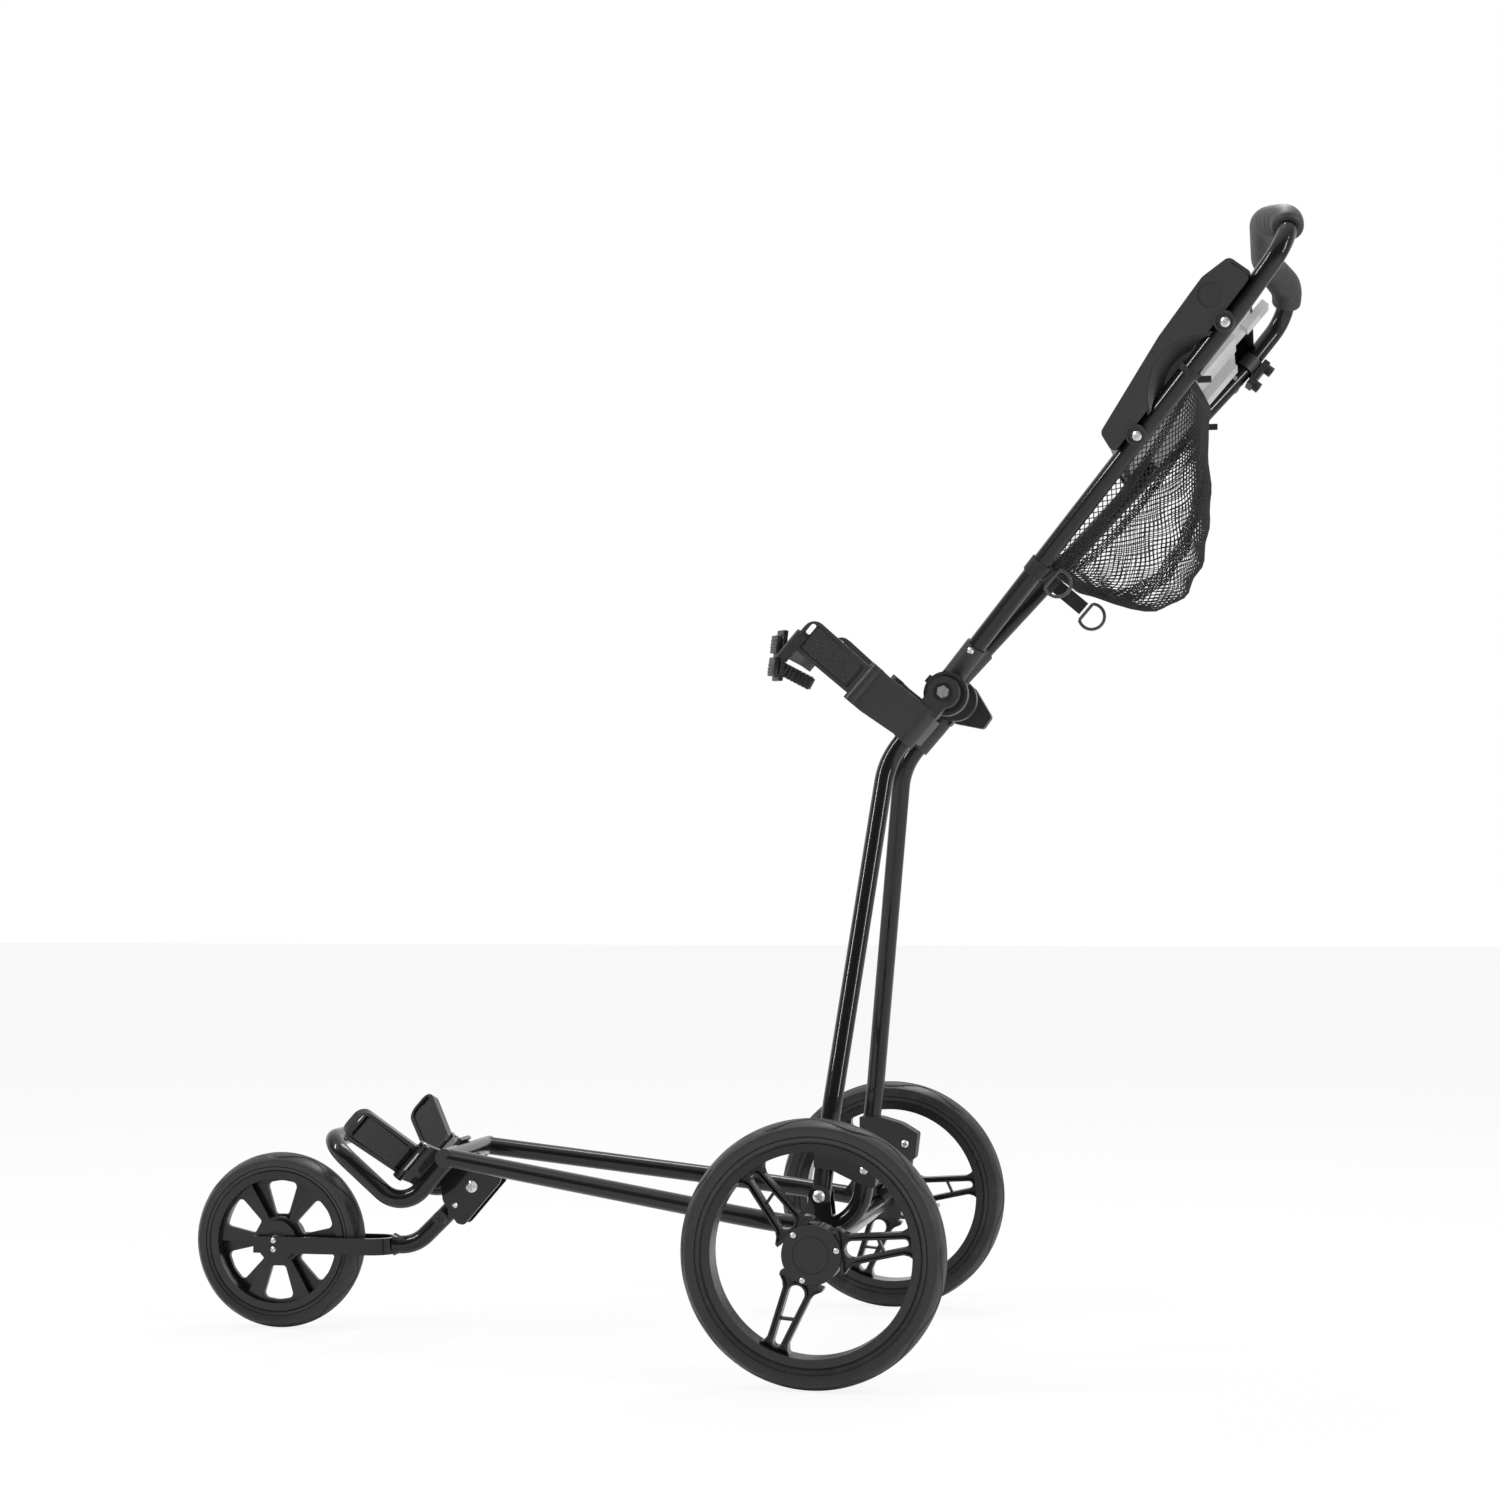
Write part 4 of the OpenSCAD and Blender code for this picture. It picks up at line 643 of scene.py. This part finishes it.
class CART_OT_net_bag(bpy.types.Operator):
    """Knots the net bag and sews its hems"""

    bl_idname = "cart.net_bag"
    bl_label = "Net bag"

    def execute(self, context):
        size = context.scene.cart_sizes
        rows = round((NET_TO - NET_FROM) / size.net_cell)
        net = sheet_of("knotted_net", 48, rows, net_at)
        activate(net)
        bpy.ops.object.mode_set(mode="EDIT")
        bpy.ops.mesh.select_all(action="SELECT")
        bpy.ops.mesh.poke()
        close_edit()
        centres = range((48 + 1) * (rows + 1), len(net.data.vertices))
        first = centres.start
        activate(net)
        bpy.ops.object.mode_set(mode="EDIT")
        bpy.ops.mesh.select_mode(type="EDGE")
        bpy.ops.mesh.select_all(action="DESELECT")
        close_edit()
        uses = {}
        for face in net.data.polygons:
            for key in face.edge_keys:
                uses[key] = uses.get(key, 0) + 1
        for edge in net.data.edges:
            inner = uses[tuple(sorted(edge.vertices))] == 2
            edge.select = inner and max(edge.vertices) < first
        bpy.ops.object.mode_set(mode="EDIT")
        bpy.ops.mesh.dissolve_edges(use_verts=False)
        close_edit()
        modify(net, "WIREFRAME", thickness=size.net_yarn, use_even_offset=False, use_boundary=True, use_replace=True)
        smooth(net, 60)
        settle(net, MAST)
        fit(net, "handle", "webbing", PAINT["net"], "net_bag")

        hems = []
        for index, (a, width) in enumerate(((0.006, 5), (0.994, 5), (0.07, 8), (0.93, 8), (0.34, 8), (0.66, 8))):
            count = round(300 / HEM_CELL)
            line = [net_at(a, k / count) for k in range(count + 1)]

            def across(k, a=a, line=line):
                ahead = line[min(k + 1, count)] - line[max(k - 1, 0)]
                skin = net_at(a + 0.005, k / count) - net_at(a - 0.005, k / count)
                return (skin - ahead * skin.dot(ahead) / ahead.length_squared).normalized()

            hems.append(dense_net(f"hem_{index}", line, across, width))
        for index, b in enumerate((0.012, 0.988)):
            count = round(420 / HEM_CELL)
            line = [net_at(k / count, b) for k in range(count + 1)]

            def over(k, b=b, line=line):
                ahead = line[min(k + 1, count)] - line[max(k - 1, 0)]
                skin = net_at(k / count, b + 0.01) - net_at(k / count, b - 0.01)
                return (skin - ahead * skin.dot(ahead) / ahead.length_squared).normalized()

            hems.append(dense_net(f"end_hem_{index}", line, over, 8))
        hem = settle(smooth(joined(hems, "net_hems")), MAST)
        fit(hem, "handle", "webbing", PAINT["net"])
        return {"FINISHED"}


def tube_y(u):
    """How far a handle tube stands from the middle."""
    return 16 + math.tan(FLARE) * u


def loop_of_webbing(name, u, side, width=18):
    """A webbing loop round a handle tube."""
    axis = Vector((0, side * math.sin(FLARE), math.cos(FLARE)))
    middle = Vector((HANDLE_RISE, side * tube_y(u), u))
    x = Vector((1, 0, 0))
    y = axis.cross(x)
    line = [
        middle + (TUBE_R + 1.2) * (math.cos(FULL_TURN * k / 40) * x + math.sin(FULL_TURN * k / 40) * y)
        for k in range(41)
    ]
    return band(name, line, lambda k: axis, width, 1.5, 4)


# Each ring's middle (forward, side, up); the left one hangs at the tube, the right one on a longer strap
RINGS = ((-19.2, 1, 181), (-57, -1, 182))
RING_R = 15.4


class CART_OT_net_fittings(bpy.types.Operator):
    """Hangs the webbing loops, tabs and D-rings of the net bag"""

    bl_idname = "cart.net_fittings"
    bl_label = "Net fittings"

    def execute(self, context):
        straps = []
        for side in (1, -1):
            straps.append(loop_of_webbing(f"loop_low_{side}", 180, side))
            straps.append(loop_of_webbing(f"loop_high_{side}", 454, side, 7))
            back, up = -MAST_FORWARD.x, MAST_FORWARD.z
            foot = Vector((-1.5, side * (tube_y(452) - 1), 452))
            tab = [foot + Vector((back, 0, up)) * 2.2 * k for k in range(8)]
            straps.append(band(f"tab_{side}", tab, lambda k: Vector((up, 0, -back)), 7, 5, 4))
        for w, side, u in RINGS:
            start, end = Vector((0, side * tube_y(180), 183)), Vector((w + RING_R - 2, side * tube_y(180), u + 1))
            line = [start.lerp(end, k / 10) for k in range(11)]
            ahead = (end - start).normalized()
            straps.append(band(f"tag_{side}", line, lambda k, a=ahead: LEFT.cross(a), 17, 2.6, 4))
        webs = settle(smooth(joined(straps, "net_webbing")), MAST)
        fit(webs, "handle", "webbing", PAINT["webbing"], "net_straps")
        rings = []
        for w, side, u in RINGS:
            line = []
            for k in range(31):
                angle = math.radians(55 + 250 * k / 30)
                line.append(Vector((w + RING_R * math.cos(angle), side * tube_y(180), u + RING_R * math.sin(angle))))
            ring = swept(f"ring_{side}", line, 0, lengths(line)[-1], 72, 14, lambda b, a: 2.0, LEFT)
            bar = rod(f"ring_bar_{side}", line[0], line[-1], 2.0, 14)
            rings += [ring, bar]
        d_rings = settle(smooth(joined(rings, "moulded_d_rings"), 50), MAST)
        fit(d_rings, "handle", "ring", PAINT["ring"], "d_rings")
        return {"FINISHED"}


class CART_OT_grip(bpy.types.Operator):
    """Moulds the foam grip over the bent handle"""

    bl_idname = "cart.grip"
    bl_label = "Grip"

    def execute(self, context):
        line = arc_line(HANDLE_CORNERS, HANDLE_BENDS, 3.0)
        lead = arc_line(HANDLE_CORNERS[:3], HANDLE_BENDS[:1], 3.0)
        before, corner, after = HANDLE_CORNERS[1:4]
        turn = (corner - before).angle(after - corner)
        bend = HANDLE_BENDS[1]
        start = lengths(lead)[-1] - bend * math.tan(turn / 2) + GRIP_FROM * bend * turn
        end = lengths(line)[-1] - start + 9

        def radius(share, angle):
            near = min(share, 1 - share) * (end - start)
            bulb = 1.9 * math.exp(-((near - 38) / 34) ** 2)
            mouth = -2.6 * max(0.0, 1 - near / 5) ** 2
            rib = -0.7 if share > 0.5 and 12 < near < 84 and (near % 6) < 1.5 else 0.0
            mark = -0.5 if share < 0.5 and 24 < near < 70 and (near + 9 * math.sin(angle)) % 15 < 2.2 else 0.0
            return 17.0 + bulb + mouth + rib + mark

        grip = swept("foam_grip", line, start, end, 320, 48, radius, MAST_UP)
        smooth(grip, 50)
        settle(grip, MAST)
        fit(grip, "handle", "foam", PAINT["foam"], "grip")
        return {"FINISHED"}


UPPER_PIN = Vector((76, 88, 0))
UPPER_SPREAD = math.radians(10)
ARM_LENGTH = 96
STRAP_LOW = -92.0
STRAP_MIDDLE = STRAP_LOW + 19


def arm_line(side):
    """The strap's way: over the end of the arm's outer face, round its tip and across to the middle."""
    ahead = Vector((math.cos(UPPER_SPREAD), math.sin(UPPER_SPREAD), 0))
    out = Vector((-ahead.y, ahead.x, 0))
    tip = UPPER_PIN + ARM_LENGTH * ahead
    corners = [
        tip + 1.8 * ahead + 6 * out,
        tip + 1.8 * ahead - 5 * out,
        Vector((tip.x + 8, tip.y - 24, 0)),
        Vector((tip.x + 10, 0, 0)),
    ]
    radii = [2.5, 14]
    if side > 0:
        corners[0] = tip + 1.8 * ahead + 7.2 * out
        corners.insert(0, tip - 11 * ahead + 7.2 * out)
        radii.insert(0, 2.5)
    line = arc_line(corners, radii, 1.5)
    return [Vector((p.x, side * p.y, STRAP_MIDDLE)) for p in line]


def blocks(name, boxes, bevel=1.0):
    """One piece of bevelled blocks, each given by two corners."""
    return joined([block(name, low, high, bevel, 3) for low, high in boxes], name)


class CART_OT_bag_strap(bpy.types.Operator):
    """Lays the bag strap round the upper arms' tips and threads its buckle"""

    bl_idname = "cart.bag_strap"
    bl_label = "Bag strap"

    def execute(self, context):
        size = context.scene.cart_sizes
        up = Vector((0, 0, 1))
        line = arm_line(1)
        line += [p for p in reversed(arm_line(-1))][1:]
        strap = settle(smooth(band("upper_strap", line, lambda k: up, size.webbing_width, 1.7)), MAST)
        strap.data.materials.clear()
        strap.data.materials.append(PAINT["webbing"])
        reach = UPPER_PIN.x + ARM_LENGTH * math.cos(UPPER_SPREAD)
        near, far = (MAST @ Vector((reach, y, STRAP_MIDDLE)) for y in (80, -80))
        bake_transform(strap)
        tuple(near)
        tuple(far)
        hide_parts("bag_strap")
        length = lengths(line)[-1] * MM

        tip = UPPER_PIN + ARM_LENGTH * Vector((math.cos(UPPER_SPREAD), math.sin(UPPER_SPREAD), 0))
        plates = [
            ((-1, -13, -30), (4.5, -8, 30)),
            ((-1, 8, -30), (4.5, 13, 30)),
            ((-1, -13, 23), (5, 13, 30)),
            ((-1, -13, -30), (5, 13, -23)),
            ((-1, -13, -4), (6.5, 13, 4)),
            ((6, -12, -25), (11.5, 12, -3)),
            ((6, -12, 2), (11.5, 12, 23)),
            ((3, -9, -22), (8, 9, 20)),
        ]
        plates += [((11, -11, z), (12.4, 11, z + 1.6)) for z in (-21, -17, -13, 8, 12, 16)]
        lean = (
            Matrix.Translation((tip.x + 5, tip.y - 36, STRAP_LOW + 1))
            @ Matrix.Rotation(math.radians(34), 4, "Y")
            @ Matrix.Rotation(math.radians(28), 4, "Z")
        )
        buckle = settle(blocks("ladder_buckle", plates), MAST @ lean)
        smooth(buckle, 40)
        fit(buckle, "arm_left", "plastic", PAINT["plastic"], "strap_buckle")

        ribs = [((-2, -6, -7), (42, 6, 7))]
        ribs += [((k, -7.2, -8.2), (k + 2.4, 7.2, 8.2)) for k in range(2, 42, 5)]
        slope = Matrix.Translation((172, 40, -104)) @ Matrix.Rotation(math.radians(180 + 13), 4, "Y")
        tail = settle(blocks("strap_tail", ribs, 0.7), MAST @ slope)
        smooth(tail, 40)
        fit(tail, "arm_left", "plastic", PAINT["plastic"])
        return {"FINISHED"}


# An arm's recess: its frame, the pin's place and turn, and its length, lower and upper ends at the pin and at the tip
ARMS = {
    "arm": ("mast", (76, 88), 10, 96, (-67, -37), (-67, -36)),
    "cradle": ("cross", (34, 62), 45, 104, (-53, -24), (-46, -15)),
}
PAD_PITCH = 2.6


class CART_OT_arm_pads(bpy.types.Operator):
    """Presses a ribbed pad into the recess of each arm"""

    bl_idname = "cart.arm_pads"
    bl_label = "Arm pads"

    def execute(self, context):
        for word, (frame_name, pin, spread, length, root, tip) in ARMS.items():
            start, end = 17.0, length - 13.0
            count = round((end - start) / PAD_PITCH)

            def place(a, b):
                x = start + (end - start) * b
                low, high = root[0] + (tip[0] - root[0]) * b, root[1] + (tip[1] - root[1]) * b
                corner = 3.0 * max(0.0, 1 - min(b, 1 - b) * (end - start) / 3.0) ** 2
                low, high = low + corner, high - corner
                rib = 0.35 * math.cos(FULL_TURN * count * b)
                return Vector((x, 5.0 + rib - 0.5 * (abs(a - 0.5) > 0.46), low + (high - low) * a))

            for side, hand in ((1, "left"), (-1, "right")):
                name = f"ribbed_pad_{word}_{hand}"
                piece = sheet_of(name, 12, count * 6, place)
                modify(piece, "SOLIDIFY", thickness=1.8, offset=1)
                turn = Matrix.Rotation(math.radians(spread), 4, "Z")
                local = Matrix.Diagonal((1, side, 1, 1)) @ Matrix.Translation((*pin, 0)) @ turn
                piece = settle(piece, (MAST if frame_name == "mast" else CROSS) @ local)
                smooth(outward(piece, 1e-6), 50)
                fit(piece, f"{word}_{hand}", "plastic", PAINT["pad"])
        return {"FINISHED"}


class CART_OT_finishes(bpy.types.Operator):
    """Mixes the finishes and gives them to the frame's nodes"""

    bl_idname = "cart.finishes"
    bl_label = "Finishes"

    def execute(self, context):
        make_finishes()
        by_slot = {"tube": "tube", "rim": "rim", "steel": "steel", "plastic": "plastic", "tyre": "tyre"}
        by_slot |= {"grey_plastic": "grey_plastic", "foam": "foam", "webbing": "webbing", "ring": "ring"}
        for part in frame["record"]["subparts"]:
            dress(PAINT[by_slot[part["material_slot"]]], part["node"])
        dress(PAINT["cap"], "hub_cap_left", "hub_cap_right", "front_bearings")
        dress(PAINT["gloss"], "lower_arm_left", "lower_arm_right")
        return {"FINISHED"}


DIM_SIDE = 0.1
# Each lamp's name, place, power, width and height
SOFTBOXES = (
    ("key_softbox", (3.2, 1.9, 3.2), 95, 0.25, 2.4),
    ("fill_softbox", (-3.2, 1.5, 1.8), 50, 0.25, 2.2),
    ("top_softbox", (-0.4, -1.2, 3.4), 46, 0.5, 2.4),
)


class CART_OT_stage(bpy.types.Operator):
    """Sets the floor, the lights and the camera"""

    bl_idname = "cart.stage"
    bl_label = "Stage"

    def execute(self, context):
        scene = context.scene
        scene.view_settings.view_transform = "Standard"
        world = bpy.data.worlds.new("white_room")
        scene.world = world
        world.use_nodes = True
        nodes, links = world.node_tree.nodes, world.node_tree.links

        def node(kind, operation=None, *terms, **settings):
            made = nodes.new("ShaderNode" + kind)
            if operation:
                made.operation = operation
            for key, value in settings.items():
                setattr(made, key, value)
            for socket, term in zip(made.inputs, terms):
                if hasattr(term, "links"):
                    links.new(term, socket)
                else:
                    socket.default_value = term
            return made

        # Metal and gloss show the white room behind the cart and over it, and its dimmer side behind the camera
        sky, shown, way = nodes["Background"], node("Background"), node("LightPath")
        direction = node("SeparateXYZ", None, node("TexCoord").outputs["Generated"])
        behind = node("MapRange", None, direction.outputs["Y"], 0.2, -0.5, DIM_SIDE, 1.0)
        over = node("MapRange", None, direction.outputs["Z"], 0.55, 0.85, DIM_SIDE, 1.0)
        room = node("Math", "MAXIMUM", behind.outputs[0], over.outputs[0])
        bright = node("Math", "MAXIMUM", room.outputs[0], way.outputs["Is Camera Ray"])
        bright = node("Math", "MAXIMUM", bright.outputs[0], way.outputs["Is Transmission Ray"])
        sky.inputs["Strength"].default_value = 0.5
        sky.inputs["Color"].default_value = shown.inputs["Color"].default_value = (1, 1, 1, 1)
        links.new(bright.outputs[0], shown.inputs["Strength"])
        clear = node("Math", "ADD", way.outputs["Is Camera Ray"], way.outputs["Is Glossy Ray"])
        clear = node("Math", "ADD", clear.outputs[0], way.outputs["Is Transmission Ray"], use_clamp=True)
        mix = node("MixShader", None, clear.outputs[0], sky.outputs[0], shown.outputs[0])
        links.new(mix.outputs[0], nodes["World Output"].inputs["Surface"])

        floor = primitive("plane", "studio_floor", size=60)
        surface = bpy.data.materials.new("pale_floor")
        surface.use_nodes = True
        tree = surface.node_tree
        matt, glow = tree.nodes["Principled BSDF"], tree.nodes.new("ShaderNodeEmission")
        matt.inputs["Base Color"].default_value = (0.92, 0.92, 0.92, 1)
        matt.inputs["Roughness"].default_value = 0.9
        blend = tree.nodes.new("ShaderNodeMixShader")
        path = tree.nodes.new("ShaderNodeLightPath")
        share = tree.nodes.new("ShaderNodeMath")
        share.operation = "MULTIPLY"
        share.inputs[1].default_value = 0.88
        tree.links.new(path.outputs["Is Camera Ray"], share.inputs[0])
        tree.links.new(share.outputs[0], blend.inputs[0])
        tree.links.new(matt.outputs[0], blend.inputs[1])
        tree.links.new(glow.outputs[0], blend.inputs[2])
        tree.links.new(blend.outputs[0], tree.nodes["Material Output"].inputs["Surface"])
        floor.data.materials.append(surface)

        for name, place, power, width, height in SOFTBOXES:
            deselect()
            bpy.ops.object.light_add(type="AREA", location=place)
            lamp = context.object
            lamp.name = lamp.data.name = name
            lamp.data.shape = "RECTANGLE"
            lamp.data.energy, lamp.data.size, lamp.data.size_y = power, width, height
            lamp.rotation_euler = (Vector((0, 0, 0.5)) - Vector(place)).to_track_quat("-Z", "Y").to_euler()

        turn, tilt = 0.1897, -0.0554
        sight = Vector((math.sin(turn) * math.cos(tilt), -math.cos(turn) * math.cos(tilt), -math.sin(tilt)))
        deselect()
        bpy.ops.object.camera_add(location=GROUND @ Vector((-495.4, 3249.8, 521.8)))
        camera = context.object
        camera.name = "camera"
        camera.rotation_euler = sight.to_track_quat("-Z", "Y").to_euler()
        camera.data.sensor_width = 36
        camera.data.lens = 36 * 2749.8 / 1500
        scene.camera = camera
        return {"FINISHED"}


STEPS = ("stage", "finishes", "tyres", "net_bag", "net_fittings", "grip", "bag_strap", "arm_pads")


class CART_PT_panel(bpy.types.Panel):
    bl_label = "Push cart"
    bl_idname = "CART_PT_panel"
    bl_space_type = "VIEW_3D"
    bl_region_type = "UI"
    bl_category = "Push cart"

    def draw(self, context):
        for group in (context.scene.cart_finish, context.scene.cart_sizes):
            for key in group.bl_rna.properties.keys():
                if key not in ("rna_type", "name"):
                    self.layout.prop(group, key)
        for step in STEPS:
            self.layout.operator(f"cart.{step}")


CLASSES = (
    CartFinish,
    CartSizes,
    CART_OT_stage,
    CART_OT_finishes,
    CART_OT_tyres,
    CART_OT_net_bag,
    CART_OT_net_fittings,
    CART_OT_grip,
    CART_OT_bag_strap,
    CART_OT_arm_pads,
    CART_PT_panel,
)


def register():
    for item in CLASSES:
        bpy.utils.register_class(item)
    bpy.types.Scene.cart_finish = bpy.props.PointerProperty(type=CartFinish)
    bpy.types.Scene.cart_sizes = bpy.props.PointerProperty(type=CartSizes)


def unregister():
    del bpy.types.Scene.cart_sizes
    del bpy.types.Scene.cart_finish
    for item in reversed(CLASSES):
        bpy.utils.unregister_class(item)


def main():
    register()
    for step in STEPS:
        getattr(bpy.ops.cart, step)()
    deselect()


if __name__ == "__main__":
    main()
